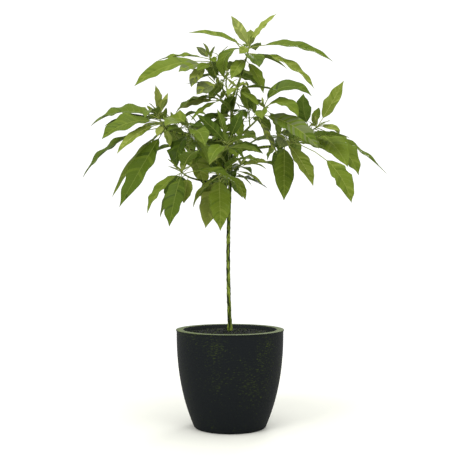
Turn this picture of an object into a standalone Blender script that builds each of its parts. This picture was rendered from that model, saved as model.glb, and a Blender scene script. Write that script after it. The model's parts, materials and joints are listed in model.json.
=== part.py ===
"""A young avocado tree on one straight stem, in a round planter.

Metres, +Z up.  The origin is the centre of the planter's flat underside.
Bearings are degrees seen from above, anticlockwise: 0 is to the right,
90 to the back, 180 to the left and 270 to the front.  Slopes are degrees
above the level.  A limb or leaf starts at its slope plus its bow and ends
at its slope less its bow, so a leaf with a large bow arches over and hangs.
"""

import math
import random
from collections import namedtuple

import bmesh
import bpy
import numpy as np
from mathutils.bvhtree import BVHTree

CLEARANCE = 0.0003
MERGE_DISTANCE = 0.00002

# Planter: a round tapering pot with a wide flat rim, and its soil
POT_HEIGHT = 0.272
POT_RIM_RADIUS = 0.150
POT_FOOT_RADIUS = 0.100
POT_TAPER_POWER = 2.37
POT_LIP_HEIGHT = 0.003
POT_LIP_PROUD = 0.0015
POT_RIM_WIDTH = 0.019
POT_WALL = 0.009
POT_FLOOR = 0.012
POT_EDGE = 0.004
POT_EDGE_SHARE = 0.3
POT_STEPS = 48
POT_SIDE_RINGS = 7
POT_INNER_RINGS = 5
SOIL_DROP = 0.012
SOIL_DOME = 0.008
SOIL_DOME_SHARES = (0.35, 0.7)
SOIL_SEAT_RADIUS = 0.016
SOIL_STEPS = 32

# Trunk: one straight stem with a slight sway and a flared foot
TRUNK_FORK_HEIGHT = 0.922
TRUNK_RADIUS_LOW = 0.0056
TRUNK_RADIUS_TOP = 0.0044
TRUNK_FLARE = 0.0030
TRUNK_FLARE_HEIGHT = 0.022
TRUNK_SWAY = 0.005
TRUNK_SWAY_LENGTH = 1.25
TRUNK_NOD = 0.004
TRUNK_NOD_LENGTH = 0.9
TRUNK_SETTLE = 0.06
TRUNK_FOOT_SHARES = (0.0, 0.006, 0.018, 0.036)
TRUNK_RINGS = 15
TRUNK_ROUNDNESS = 2
LIMB_RINGS = 6
LIMB_ROUNDNESS = 1
STEM_RINGS = 4
STEM_ROOT = 0.0023
STEM_TIP = 0.0012

# Leaves: a short stalk, then a pointed blade that is folded along its midrib
LEAF_BREADTH = 0.36
LEAF_STALK = 0.18
LEAF_STALK_RADIUS = 0.0014
LEAF_THICKNESS = 0.018
LEAF_FOLD = 12
BLADE_STATIONS = (0.16, 0.42, 0.72)
BLADE_SWELL = 0.8
BLADE_TAPER = 1.0
ROOM_SIDEWAYS = 1.03
ROOM_THICKNESS = 1.6
WALK_STEPS = 48

# The seeded rule for the leaves that have no set place
GOLDEN_ANGLE = 137.5
RULE_TRIES = 6
RULE_FIRST_TURN = 60
RULE_REACH = 0.7
RULE_SLOPE_SPAN = 45
RULE_STRAY = 12
RULE_LENGTH = (0.8, 1.1)
RULE_BOW = (15, 40)
RULE_ROLL = 25

# The crown's space: no leaf of the rule passes this egg-shaped limit
CROWN_CENTRE = (0.010, 0.0, 0.850)
CROWN_REACH = (0.440, 0.400, 0.320)

Limb = namedtuple("Limb", "name parent along bearing slope bow length root tip")
Spray = namedtuple("Spray", "name limb along bearing slope bow length more seed leaf_length lift",
                   defaults=(0, 1, 0.16, -10))
Leaf = namedtuple("Leaf", "along bearing slope length bow roll broad stalk",
                  defaults=(15, 0, LEAF_BREADTH, LEAF_STALK))

LIMBS = (
    Limb("leader_right", "trunk", 1.000, 18, 69, -7, 0.112, 0.0034, 0.0025),
    Limb("leader_left", "trunk", 0.975, 211, 56, -6, 0.114, 0.0030, 0.0023),
    Limb("leader_back", "trunk", 0.955, 98, 37, -8, 0.154, 0.0028, 0.0022),
    Limb("leader_front", "trunk", 0.935, 277, 18, -10, 0.100, 0.0028, 0.0022),
    Limb("bough_left_upper", "trunk", 0.815, 188, 9, -9, 0.188, 0.0034, 0.0024),
    Limb("bough_left_lower", "trunk", 0.681, 174, 30, 6, 0.130, 0.0034, 0.0025),
    Limb("bough_left_bottom", "trunk", 0.629, 230, 3, -6, 0.168, 0.0032, 0.0023),
    Limb("bough_right_upper", "trunk", 0.806, 311, 27, -2, 0.123, 0.0032, 0.0023),
    Limb("bough_right_lower", "trunk", 0.763, 3, 8, 8, 0.157, 0.0036, 0.0028),
    Limb("bough_right_outer", "bough_right_lower", 1.000, 350, 29, -6, 0.072, 0.0027, 0.0022),
    Limb("bough_front", "trunk", 0.720, 268, 4, -8, 0.195, 0.0034, 0.0024),
    Limb("bough_back_left", "trunk", 0.849, 132, 6, -6, 0.215, 0.0032, 0.0023),
    Limb("bough_back_right", "trunk", 0.780, 45, 8, -4, 0.226, 0.0032, 0.0024),
    Limb("bough_back", "trunk", 0.733, 88, 21, -8, 0.200, 0.0032, 0.0023),
)

SPRAYS = (
    Spray("foliage_top_right", "leader_right", 1.000, 11, 75, -2, 0.045, 2, 23),
    Spray("foliage_top_left", "leader_left", 1.000, 250, 56, -4, 0.029, 1, 28),
    Spray("foliage_upper_left", "leader_left", 0.520, 242, -5, 0, 0.022, 0, 1),
    Spray("foliage_top_back", "leader_back", 1.000, 84, 54, -4, 0.052, 6, 10, 0.14),
    Spray("foliage_top_front", "leader_front", 1.000, 281, 34, -4, 0.031, 2, 7, 0.12),
    Spray("foliage_fork_left", "trunk", 0.967, 206, 24, 0, 0.033, 1, 22),
    Spray("foliage_left_far", "bough_left_upper", 1.000, 184, 61, -6, 0.040, 2, 22),
    Spray("foliage_left_inner", "bough_left_upper", 0.620, 268, 9, -4, 0.087, 2, 17),
    Spray("foliage_left_mid", "bough_left_lower", 1.000, 182, 33, -2, 0.024, 4, 24),
    Spray("foliage_left_low", "bough_left_bottom", 1.000, 235, 18, -4, 0.039, 3, 1),
    Spray("foliage_low_left", "trunk", 0.651, 250, 1, -6, 0.089, 3, 35),
    Spray("foliage_low_right", "trunk", 0.672, 301, 17, 0, 0.032, 1, 28),
    Spray("foliage_right_upper", "bough_right_upper", 1.000, 302, 41, -4, 0.039, 1, 28),
    Spray("foliage_right_inner", "bough_right_upper", 0.700, 91, 38, -6, 0.083, 3, 9, 0.12),
    Spray("foliage_right_mid", "bough_right_lower", 0.930, 284, 0, -4, 0.089, 3, 38),
    Spray("foliage_right_far", "bough_right_outer", 1.000, 348, 32, 0, 0.030, 2, 30),
    Spray("foliage_centre_front", "trunk", 0.784, 262, 7, 0, 0.049, 5, 5, 0.12),
    Spray("foliage_crown_front", "trunk", 0.901, 271, 16, -4, 0.052, 4, 14, 0.12),
    Spray("foliage_front", "bough_front", 1.000, 265, 20, -4, 0.037, 2, 18, 0.12),
    Spray("foliage_back_left", "bough_back_left", 1.000, 131, 34, -4, 0.049, 9, 22, 0.15),
    Spray("foliage_back_right", "bough_back_right", 1.000, 50, 32, -4, 0.045, 9, 16, 0.14),
    Spray("foliage_back", "bough_back", 1.000, 80, 41, -4, 0.048, 8, 37),
    Spray("foliage_back_low", "trunk", 0.655, 107, 19, -4, 0.045, 7, 26),
)

LEAVES = {
    "foliage_top_right": (
        Leaf(1.00, 203, 56, 0.100, 4, -62, broad=0.32, stalk=0.12),
        Leaf(1.00, 0, 50, 0.125, 16, -45, broad=0.20, stalk=0.12),
        Leaf(0.95, 81, 60, 0.070, 4, 0, broad=0.55, stalk=0.10),
        Leaf(0.90, 0, -9, 0.250, 25, -35, broad=0.26, stalk=0.20),
        Leaf(0.55, 354, -29, 0.225, 28, -35, broad=0.25, stalk=0.22),
        Leaf(0.80, 180, 16, 0.180, 20, 35, broad=0.24, stalk=0.20),
        Leaf(0.70, 214, -47, 0.150, 68, 10, broad=0.42, stalk=0.22),
        Leaf(0.25, 240, -41, 0.115, 12, 30, broad=0.36, stalk=0.14),
        Leaf(0.12, 316, -57, 0.125, 16, -25, broad=0.32, stalk=0.14),
        Leaf(0.50, 290, -31, 0.110, 22, 0, broad=0.60, stalk=0.20),
        Leaf(1.00, 240, -29, 0.065, 6, 40, broad=0.50, stalk=0.20),
    ),
    "foliage_top_left": (
        Leaf(0.95, 201, 35, 0.050, 6, -55, broad=0.44, stalk=0.14),
        Leaf(0.60, 187, -19, 0.230, 25, 40, broad=0.30, stalk=0.20),
        Leaf(0.85, 162, 3, 0.160, 16, 20, broad=0.26, stalk=0.20),
        Leaf(0.40, 212, -18, 0.110, 18, 45, broad=0.50, stalk=0.35),
        Leaf(0.20, 209, -46, 0.095, 30, 45, broad=0.48, stalk=0.26),
        Leaf(0.32, 233, -24, 0.070, 14, 40, broad=0.44, stalk=0.12),
        Leaf(1.00, 300, -27, 0.040, 10, -40, broad=0.60, stalk=0.20),
    ),
    "foliage_upper_left": (
        Leaf(0.90, 174, 3, 0.090, 12, 10, broad=0.20, stalk=0.12),
        Leaf(1.00, 204, -27, 0.070, 20, 45, broad=0.74, stalk=0.12),
    ),
    "foliage_fork_left": (
        Leaf(0.80, 180, -10, 0.135, 16, 35, broad=0.36, stalk=0.25),
        Leaf(1.00, 215, -33, 0.125, 16, 30, broad=0.19, stalk=0.20),
        Leaf(0.60, 145, 13, 0.100, 16, 0, broad=0.36, stalk=0.30),
    ),
    "foliage_left_far": (
        Leaf(0.95, 207, 83, 0.090, 3, 62, broad=0.50, stalk=0.22),
        Leaf(1.00, 47, 64, 0.080, 2, -30, broad=0.24, stalk=0.20),
        Leaf(0.85, 166, 45, 0.055, 0, 40, broad=0.36, stalk=0.30),
        Leaf(0.80, 164, -3, 0.225, 33, 30, broad=0.38, stalk=0.15),
        Leaf(0.68, 168, -3, 0.170, 22, 20, broad=0.26, stalk=0.15),
        Leaf(0.50, 200, -17, 0.185, 30, 34, broad=0.44),
        Leaf(0.45, 217, -33, 0.175, 20, 40, broad=0.22, stalk=0.20),
        Leaf(0.15, 185, -32, 0.275, 27, 25, broad=0.26, stalk=0.30),
        Leaf(0.30, 250, -41, 0.055, 22, 20, broad=0.50, stalk=0.20),
        Leaf(0.20, 293, -52, 0.080, 14, 0, broad=0.34, stalk=0.20),
        Leaf(0.08, 221, -56, 0.270, 2, 32, broad=0.25, stalk=0.14),
        Leaf(0.22, 174, -53, 0.245, 7, 30, broad=0.25),
        Leaf(0.50, 142, -6, 0.085, 18, 0, broad=0.32, stalk=0.20),
        Leaf(0.75, 16, -9, 0.055, 15, 0, broad=0.44, stalk=0.20),
    ),
    "foliage_left_inner": (
        Leaf(0.90, 153, 20, 0.080, 50, 50, broad=0.80, stalk=0.26),
        Leaf(0.70, 207, -7, 0.070, 26, 20, broad=0.60, stalk=0.40),
        Leaf(0.50, 313, -49, 0.125, 12, 0, broad=0.44, stalk=0.10),
        Leaf(0.25, 226, -63, 0.115, 40, 0, broad=0.60, stalk=0.16),
        Leaf(1.00, 260, 66, 0.025, 0, 50, broad=0.20, stalk=0.40),
        Leaf(1.00, 336, -3, 0.050, 18, -30, broad=0.60, stalk=0.20),
    ),
    "foliage_left_mid": (
        Leaf(0.30, 298, -49, 0.155, 12, -10, broad=0.43, stalk=0.12),
        Leaf(0.90, 263, -58, 0.050, 10, 20, broad=0.30, stalk=0.25),
        Leaf(1.00, 334, 24, 0.025, 0, -40, broad=0.24, stalk=0.30),
        Leaf(0.80, 153, -19, 0.050, 28, 0, broad=0.36, stalk=0.25),
    ),
    "foliage_left_low": (
        Leaf(0.90, 190, -50, 0.145, 24, 30, broad=0.36, stalk=0.12),
        Leaf(0.85, 252, -58, 0.170, 10, 0, broad=0.35, stalk=0.12),
        Leaf(0.15, 257, -60, 0.085, 10, 0, broad=0.52, stalk=0.12),
        Leaf(0.95, 157, -62, 0.135, 10, 0, broad=0.20, stalk=0.20),
        Leaf(1.00, 204, 41, 0.050, 6, 30, broad=0.34, stalk=0.25),
    ),
    "foliage_low_left": (
        Leaf(0.70, 233, -62, 0.160, 14, 30, broad=0.42, stalk=0.10),
        Leaf(1.00, 273, -60, 0.175, 12, 0, broad=0.37, stalk=0.12),
        Leaf(1.00, 196, -50, 0.115, 22, 20, broad=0.32, stalk=0.20),
        Leaf(0.95, 172, 7, 0.040, 38, 0, broad=0.20, stalk=0.20),
    ),
    "foliage_low_right": (
        Leaf(0.30, 326, -60, 0.090, 10, -30),
        Leaf(0.60, 354, -38, 0.065, 12, -20, broad=0.24, stalk=0.15),
        Leaf(0.80, 353, -27, 0.090, 20, -20, broad=0.22, stalk=0.15),
        Leaf(1.00, 351, 13, 0.095, 24, -35, broad=0.36, stalk=0.26),
        Leaf(0.90, 323, -1, 0.110, 34, 0, broad=0.24, stalk=0.30),
    ),
    "foliage_right_upper": (
        Leaf(0.40, 333, -31, 0.200, 20, -42, broad=0.33, stalk=0.12),
        Leaf(1.00, 2, 14, 0.165, 64, -40, broad=0.35, stalk=0.16),
        Leaf(0.90, 342, -16, 0.120, 60, -30, broad=0.46, stalk=0.16),
        Leaf(0.95, 32, -57, 0.095, 40, 0, broad=0.38, stalk=0.24),
        Leaf(0.15, 332, -62, 0.115, -4, -20, broad=0.30, stalk=0.14),
        Leaf(1.00, 103, 58, 0.040, 5, 40, broad=0.20, stalk=0.30),
    ),
    "foliage_right_inner": (
        Leaf(0.85, 224, 47, 0.075, 10, 20, broad=0.28, stalk=0.35),
        Leaf(0.95, 129, 74, 0.090, 4, 60, broad=0.40, stalk=0.10),
        Leaf(0.60, 199, 3, 0.035, 22, 0, broad=0.50, stalk=0.20),
    ),
    "foliage_right_mid": (
        Leaf(0.60, 317, -54, 0.150, 12, -25, broad=0.36, stalk=0.10),
        Leaf(0.25, 265, -69, 0.170, 8, 0, broad=0.35, stalk=0.08),
        Leaf(0.80, 239, -18, 0.075, 58, 40, broad=0.76, stalk=0.22),
        Leaf(0.90, 339, -45, 0.250, 32, -40, broad=0.41, stalk=0.46),
        Leaf(1.00, 29, 59, 0.040, 5, -20, broad=0.30, stalk=0.25),
    ),
    "foliage_right_far": (
        Leaf(0.30, 222, 74, 0.110, -26, -60, broad=0.58, stalk=0.26),
        Leaf(0.20, 35, 64, 0.080, 0, -50, broad=0.44, stalk=0.34),
        Leaf(1.00, 356, 60, 0.150, -4, -60, broad=0.38, stalk=0.20),
        Leaf(0.95, 343, -11, 0.070, 22, -40, broad=0.48, stalk=0.24),
        Leaf(0.90, 8, -32, 0.245, 13, -35, broad=0.18, stalk=0.20),
        Leaf(0.70, 339, -47, 0.190, 24, -30, broad=0.42, stalk=0.20),
        Leaf(0.45, 309, -40, 0.180, 20, -30, broad=0.42, stalk=0.14),
    ),
    "foliage_front": (
        Leaf(0.80, 213, -44, 0.075, 10, 25, broad=0.56, stalk=0.08),
        Leaf(1.00, 201, 41, 0.110, 8, -40, broad=0.30, stalk=0.12),
        Leaf(0.92, 171, 74, 0.095, 6, -40, broad=0.36, stalk=0.25),
        Leaf(0.56, 326, -36, 0.065, 22, 0, broad=0.44, stalk=0.12),
        Leaf(0.72, 7, 16, 0.085, 28, 20, broad=0.28, stalk=0.15),
        Leaf(0.44, 13, -7, 0.090, 18, 30, broad=0.30, stalk=0.12),
        Leaf(0.64, 32, 65, 0.110, 4, -50, broad=0.36, stalk=0.30),
    ),
    "foliage_top_front": (
        Leaf(0.60, 324, -34, 0.085, 18, -25, broad=0.36, stalk=0.15),
        Leaf(0.90, 20, -54, 0.075, 22, 0, broad=0.44, stalk=0.20),
        Leaf(1.00, 246, -26, 0.075, 20, 0, broad=0.44, stalk=0.20),
    ),
    "foliage_crown_front": (
        Leaf(0.60, 210, -13, 0.060, 12, -30, broad=0.44, stalk=0.15),
        Leaf(1.00, 289, -51, 0.105, 20, 0, broad=0.38, stalk=0.12),
    ),
}


def clear_scene():
    for thing in list(bpy.data.objects):
        bpy.data.objects.remove(thing, do_unlink=True)


def new_collection(name):
    collection = bpy.data.collections.new(name)
    bpy.context.scene.collection.children.link(collection)
    return collection


def finish_material(name, colour, roughness):
    material = bpy.data.materials.new(name)
    material.use_nodes = True
    shader = material.node_tree.nodes["Principled BSDF"]
    shader.inputs["Base Color"].default_value = (*colour, 1.0)
    shader.inputs["Roughness"].default_value = roughness
    shader.inputs["Metallic"].default_value = 0.0
    return material


def give_material(thing, material):
    thing.data.materials.clear()
    thing.data.materials.append(material)


def evaluated_mesh(thing):
    """The mesh that the object's curve or modifiers make."""
    depsgraph = bpy.context.evaluated_depsgraph_get()
    return bpy.data.meshes.new_from_object(thing.evaluated_get(depsgraph))


def cleaned(mesh):
    """Joins points that lie together, drops what is left loose and turns all faces outwards."""
    bm = bmesh.new()
    bm.from_mesh(mesh)
    bmesh.ops.remove_doubles(bm, verts=bm.verts, dist=MERGE_DISTANCE)
    loose = [vertex for vertex in bm.verts if not vertex.link_faces]
    bmesh.ops.delete(bm, geom=loose, context="VERTS")
    bmesh.ops.recalc_face_normals(bm, faces=bm.faces)
    bm.to_mesh(mesh)
    bm.free()
    return mesh


def turned(name, profile, steps, collection):
    """Turns a profile of (radius, height) points round the upright axis."""
    mesh = bpy.data.meshes.new(name)
    points = [(radius, 0.0, height) for radius, height in profile]
    edges = [(i, i + 1) for i in range(len(points) - 1)]
    mesh.from_pydata(points, edges, [])
    thing = bpy.data.objects.new(name, mesh)
    collection.objects.link(thing)
    screw = thing.modifiers.new("turn", "SCREW")
    screw.axis = "Z"
    screw.angle = math.tau
    screw.steps = steps
    screw.render_steps = steps
    screw.use_merge_vertices = True
    screw.merge_threshold = MERGE_DISTANCE
    return thing


def pot_radius(height):
    """The planter's outer side narrows slowly below the rim and fastest near the foot."""
    narrowing = (1 - height / POT_HEIGHT) ** POT_TAPER_POWER
    return POT_RIM_RADIUS - (POT_RIM_RADIUS - POT_FOOT_RADIUS) * narrowing


def pot_inner_radius(height):
    """The wall is as wide as the rim at the top and thins towards the floor."""
    share = height / POT_HEIGHT
    return pot_radius(height) - POT_WALL - (POT_RIM_WIDTH - POT_WALL) * share


def make_pot(collection):
    """A hollow inside, a wide rim with a lip, the curved outer side and a flat underside."""
    inner = [(pot_inner_radius(height), height)
             for height in np.linspace(POT_FLOOR, POT_HEIGHT, POT_INNER_RINGS + 1)]
    lip_base = POT_HEIGHT - POT_LIP_HEIGHT
    lip = [(POT_RIM_RADIUS + POT_LIP_PROUD, height) for height in (POT_HEIGHT, lip_base)]
    outer = [(pot_radius(height), height) for height in np.linspace(lip_base, POT_EDGE, POT_SIDE_RINGS + 1)]
    bevel = POT_EDGE * POT_EDGE_SHARE
    foot = [(POT_FOOT_RADIUS - bevel, bevel), (POT_FOOT_RADIUS - POT_EDGE, 0.0), (0.0, 0.0)]
    return turned("pot", [(0.0, POT_FLOOR)] + inner + lip + outer + foot, POT_STEPS, collection)


def soil_top():
    return POT_HEIGHT - SOIL_DROP + SOIL_DOME


def make_soil(collection):
    """Fills the planter up to a low dome with a small level seat for the trunk."""
    edge_height = POT_HEIGHT - SOIL_DROP
    floor = POT_FLOOR + CLEARANCE
    side = [(pot_inner_radius(height) - 2 * CLEARANCE, height)
            for height in np.linspace(edge_height, floor, POT_INNER_RINGS + 1)]
    dome_width = side[0][0] - SOIL_SEAT_RADIUS
    dome = [(SOIL_SEAT_RADIUS + dome_width * share, edge_height + SOIL_DOME * (1 - share ** 2))
            for share in SOIL_DOME_SHARES]
    top = [(0.0, soil_top()), (SOIL_SEAT_RADIUS, soil_top())]
    return turned("soil", top + dome + side + [(0.0, floor)], SOIL_STEPS, collection)


def trunk_point(along):
    """The stem is upright, with a slight sway sideways and nod forward that fade in from the foot."""
    foot = soil_top() + CLEARANCE
    settle = min(1.0, along / TRUNK_SETTLE)
    sway = -TRUNK_SWAY * math.sin(math.tau * along / TRUNK_SWAY_LENGTH) * settle
    nod = -TRUNK_NOD * math.sin(math.tau * along / TRUNK_NOD_LENGTH) * settle
    return (sway, nod, foot + (TRUNK_FORK_HEIGHT - foot) * along)


def trunk_radius(along):
    """Tapers evenly to the fork, and flares out over the last stretch above the soil."""
    height = along * (TRUNK_FORK_HEIGHT - soil_top())
    flare = TRUNK_FLARE * math.exp(-2 * height / TRUNK_FLARE_HEIGHT)
    return TRUNK_RADIUS_LOW + (TRUNK_RADIUS_TOP - TRUNK_RADIUS_LOW) * along + flare


def walk(start, bearing, slope, length, bow=0.0, stations=(0.0, 1.0)):
    """The points along a limb, twig or midrib, with its slope and bearing in radians at each.

    The slope falls evenly from slope + bow to slope - bow, and the points are
    the sum of many short steps.
    """
    fine = np.linspace(0.0, 1.0, WALK_STEPS + 1)
    tilt = np.radians(slope + bow * (1 - 2 * fine))
    turn = math.radians(bearing)
    level = np.cos(tilt)
    heading = np.stack([level * math.cos(turn), level * math.sin(turn), np.sin(tilt)], axis=1)
    steps = 0.5 * (heading[1:] + heading[:-1]) * length / WALK_STEPS
    path = np.vstack([np.zeros(3), np.cumsum(steps, axis=0)]) + np.array(start)
    at = np.array(stations)
    points = np.stack([np.interp(at, fine, path[:, k]) for k in range(3)], axis=1)
    return points, np.radians(slope + bow * (1 - 2 * at)), turn


def place_on(route, along):
    """The point at a share of the way along a limb's route."""
    shares = np.linspace(0.0, 1.0, len(route))
    return np.array([np.interp(along, shares, route[:, k]) for k in range(3)])


def route_of(limb, carrier_route, rings):
    """The route of a limb or of a spray's stem, from the axis of what carries it."""
    start = place_on(carrier_route, limb.along)
    stations = np.linspace(0.0, 1.0, rings)
    return walk(start, limb.bearing, limb.slope, limb.length, limb.bow, stations)[0]


def tube(name, points, radii, resolution, collection):
    """A round limb with flat ends, its thickness set at each point."""
    curve = bpy.data.curves.new(name, "CURVE")
    curve.dimensions = "3D"
    curve.bevel_depth = 1.0
    curve.bevel_resolution = resolution
    curve.use_fill_caps = True
    spline = curve.splines.new("POLY")
    spline.points.add(len(points) - 1)
    for point, place, radius in zip(spline.points, points, radii):
        point.co = (*place, 1.0)
        point.radius = radius
    drawn = bpy.data.objects.new(name + "_curve", curve)
    collection.objects.link(drawn)
    mesh = cleaned(evaluated_mesh(drawn))
    bpy.data.objects.remove(drawn, do_unlink=True)
    mesh.name = name
    thing = bpy.data.objects.new(name, mesh)
    collection.objects.link(thing)
    return thing


def grown(name, points, radii, resolution, cutters):
    """The same limb 0.3 mm larger all round and past its tip, to cut what meets it."""
    points = np.array(points)
    ahead = points[-1] - points[-2]
    points[-1] = points[-1] + ahead / np.linalg.norm(ahead) * CLEARANCE
    thing = tube(name + "_cutter", points, [radius + CLEARANCE for radius in radii], resolution, cutters)
    thing.hide_render = True
    thing.display_type = "WIRE"
    return thing


def apply_boolean(thing, operation, other=None, collection=None):
    """Cuts or joins a solid with one other, or with every solid of a collection."""
    boolean = thing.modifiers.new(operation.lower(), "BOOLEAN")
    boolean.operation = operation
    boolean.solver = "EXACT"
    if collection is None:
        boolean.object = other
    else:
        boolean.operand_type = "COLLECTION"
        boolean.collection = collection
    mesh = cleaned(evaluated_mesh(thing))
    thing.modifiers.clear()
    thing.data = mesh


def half_breadth(share, breadth):
    """Half the blade's breadth: a power of the distance from its base times that from its tip."""
    widest = BLADE_SWELL / (BLADE_SWELL + BLADE_TAPER)
    peak = widest ** BLADE_SWELL * (1 - widest) ** BLADE_TAPER
    return 0.5 * breadth * share ** BLADE_SWELL * (1 - share) ** BLADE_TAPER / peak


def leaf_shape(leaf, root, sideways=1.0, thickness=1.0):
    """Points and faces of a leaf: rings of left margin, top, right margin and underside, then the tip."""
    blade = leaf.length * (1 - leaf.stalk)
    stations = [0.0] + [leaf.stalk + (1 - leaf.stalk) * share for share in (0.0, *BLADE_STATIONS, 1.0)]
    centres, tilt, turn = walk(root, leaf.bearing, leaf.slope, leaf.length, leaf.bow, stations)
    side = np.tile([math.sin(turn), -math.cos(turn), 0.0], (len(tilt), 1))
    top = np.stack([-math.cos(turn) * np.sin(tilt), -math.sin(turn) * np.sin(tilt), np.cos(tilt)], axis=1)
    roll = math.radians(leaf.roll)
    side, top = side * math.cos(roll) + top * math.sin(roll), top * math.cos(roll) - side * math.sin(roll)
    fold = math.radians(LEAF_FOLD)
    widths = [half_breadth(share, leaf.broad * blade) * sideways for share in BLADE_STATIONS]
    points = []
    for ring, width in enumerate([LEAF_STALK_RADIUS] * 2 + widths):
        rise = width * math.sin(fold) if ring > 1 else 0.0
        deep = (LEAF_STALK_RADIUS if ring < 2 else 0.5 * LEAF_THICKNESS * leaf.length) * thickness
        points.append(centres[ring] - side[ring] * width + top[ring] * rise)
        points.append(centres[ring] + top[ring] * deep)
        points.append(centres[ring] + side[ring] * width + top[ring] * rise)
        points.append(centres[ring] - top[ring] * deep)
    points.append(centres[-1])
    rings = len(widths) + 2
    faces = [(3, 2, 1, 0)]
    for ring in range(rings - 1):
        first = 4 * ring
        faces += [(first + k, first + (k + 1) % 4, first + 4 + (k + 1) % 4, first + 4 + k) for k in range(4)]
    last = 4 * (rings - 1)
    faces += [(last + k, last + (k + 1) % 4, 4 * rings) for k in range(4)]
    return points, faces


def leaf_object(name, leaf, root, collection):
    """The leaf as a closed solid of its own."""
    points, faces = leaf_shape(leaf, root)
    mesh = bpy.data.meshes.new(name)
    mesh.from_pydata([tuple(point) for point in points], [], faces)
    thing = bpy.data.objects.new(name, cleaned(mesh))
    collection.objects.link(thing)
    return thing


def solid_tree(thing):
    """A search tree of an object's faces, to test what touches it."""
    mesh = evaluated_mesh(thing)
    points = [vertex.co for vertex in mesh.vertices]
    return BVHTree.FromPolygons(points, [tuple(face.vertices) for face in mesh.polygons])


def leaf_tree(leaf, root, whole):
    """A search tree of the leaf with some room round it, with or without its stalk."""
    points, faces = leaf_shape(leaf, root, ROOM_SIDEWAYS, ROOM_THICKNESS)
    if not whole:
        faces = [face for face in faces if min(face) >= 4]
    return BVHTree.FromPolygons(points, faces)


def rule_leaf(spray, number, turn, chance):
    """Leaves step round the stem by the golden angle, raised at its tip and hanging at its foot."""
    share = (number + 0.5) / spray.more
    bearing = spray.bearing + RULE_FIRST_TURN + GOLDEN_ANGLE * turn
    slope = spray.lift + RULE_SLOPE_SPAN * (0.5 - share)
    return Leaf(along=1.0 - RULE_REACH * share,
                bearing=bearing + chance.uniform(-RULE_STRAY, RULE_STRAY),
                slope=slope + chance.uniform(-RULE_STRAY, RULE_STRAY),
                length=spray.leaf_length * chance.uniform(*RULE_LENGTH),
                bow=chance.uniform(*RULE_BOW),
                roll=chance.uniform(-RULE_ROLL, RULE_ROLL))


def inside_crown(leaf, root):
    tip = walk(root, leaf.bearing, leaf.slope, leaf.length, leaf.bow)[0][-1]
    return sum(((tip[k] - CROWN_CENTRE[k]) / CROWN_REACH[k]) ** 2 for k in range(3)) < 1.0


class Foliage:
    """Gives each leaf its room: a leaf that touches a limb or another spray is skipped."""

    def __init__(self, solids):
        self.solids = solids
        self.taken = []
        self.kept = {}

    def touched(self, spray, leaf, root):
        """The name of what the leaf would touch; leaves of one spray may share their stem."""
        whole = leaf_tree(leaf, root, True)
        blade = leaf_tree(leaf, root, False)
        for name, solid in self.solids.items():
            if name != spray.name and whole.overlap(solid):
                return name
        for owner, other_whole, other_blade in self.taken:
            if owner != spray.name and whole.overlap(other_whole):
                return owner
            if owner == spray.name and blade.overlap(other_blade):
                return owner
        return None

    def keep(self, spray, leaf, root):
        self.taken.append((spray.name, leaf_tree(leaf, root, True), leaf_tree(leaf, root, False)))
        self.kept.setdefault(spray.name, []).append((leaf, root))


def plan_foliage(solids, routes):
    """Leaves with a set place first, then those of the seeded rule in the room that is left."""
    foliage = Foliage(solids)
    for spray in SPRAYS:
        for leaf in LEAVES.get(spray.name, ()):
            root = place_on(routes[spray.name], leaf.along)
            if not foliage.touched(spray, leaf, root):
                foliage.keep(spray, leaf, root)
    for spray in SPRAYS:
        chance = random.Random(spray.seed)
        turn = 0
        for number in range(spray.more):
            for _ in range(RULE_TRIES):
                leaf = rule_leaf(spray, number, turn, chance)
                root = place_on(routes[spray.name], leaf.along)
                turn += 1
                if inside_crown(leaf, root) and not foliage.touched(spray, leaf, root):
                    foliage.keep(spray, leaf, root)
                    break
    return foliage.kept


def make_limbs(parts, cutters):
    """The trunk and boughs, each cut clear of the limb that carries it."""
    rings = [*TRUNK_FOOT_SHARES, *(ring / TRUNK_RINGS for ring in range(1, TRUNK_RINGS + 1))]
    trunk_rings = np.array([trunk_point(share) for share in rings])
    trunk_radii = [trunk_radius(share) for share in rings]
    routes = {"trunk": np.array([trunk_point(share) for share in np.linspace(0.0, 1.0, WALK_STEPS + 1)])}
    solids = {"trunk": tube("trunk", trunk_rings, trunk_radii, TRUNK_ROUNDNESS, parts)}
    grown_limbs = {"trunk": grown("trunk", trunk_rings, trunk_radii, TRUNK_ROUNDNESS, cutters)}
    for limb in LIMBS:
        route = route_of(limb, routes[limb.parent], LIMB_RINGS)
        radii = np.linspace(limb.root, limb.tip, LIMB_RINGS)
        solids[limb.name] = tube(limb.name, route, radii, LIMB_ROUNDNESS, parts)
        apply_boolean(solids[limb.name], "DIFFERENCE", grown_limbs[limb.parent])
        grown_limbs[limb.name] = grown(limb.name, route, radii, LIMB_ROUNDNESS, cutters)
        routes[limb.name] = route
    return solids, routes, grown_limbs


def make_masses(parts, solids, routes, grown_limbs, green):
    """One solid for each spray: its stem with the leaves that found room, cut clear of its limb."""
    radii = np.linspace(STEM_ROOT, STEM_TIP, STEM_RINGS)
    stems = {}
    for spray in SPRAYS:
        routes[spray.name] = route_of(spray, routes[spray.limb], STEM_RINGS)
        stems[spray.name] = tube(spray.name, routes[spray.name], radii, LIMB_ROUNDNESS, parts)
    trees = {name: solid_tree(thing) for name, thing in {**solids, **stems}.items()}
    kept = plan_foliage(trees, routes)
    for spray in SPRAYS:
        leaves = new_collection(spray.name + "_leaves")
        for number, (leaf, root) in enumerate(kept[spray.name]):
            leaf_object(f"{spray.name}_leaf_{number}", leaf, root, leaves)
        stem = stems[spray.name]
        apply_boolean(stem, "UNION", collection=leaves)
        apply_boolean(stem, "DIFFERENCE", grown_limbs[spray.limb])
        give_material(stem, green)
        for thing in list(leaves.objects):
            bpy.data.objects.remove(thing, do_unlink=True)
        bpy.data.collections.remove(leaves)


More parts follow.
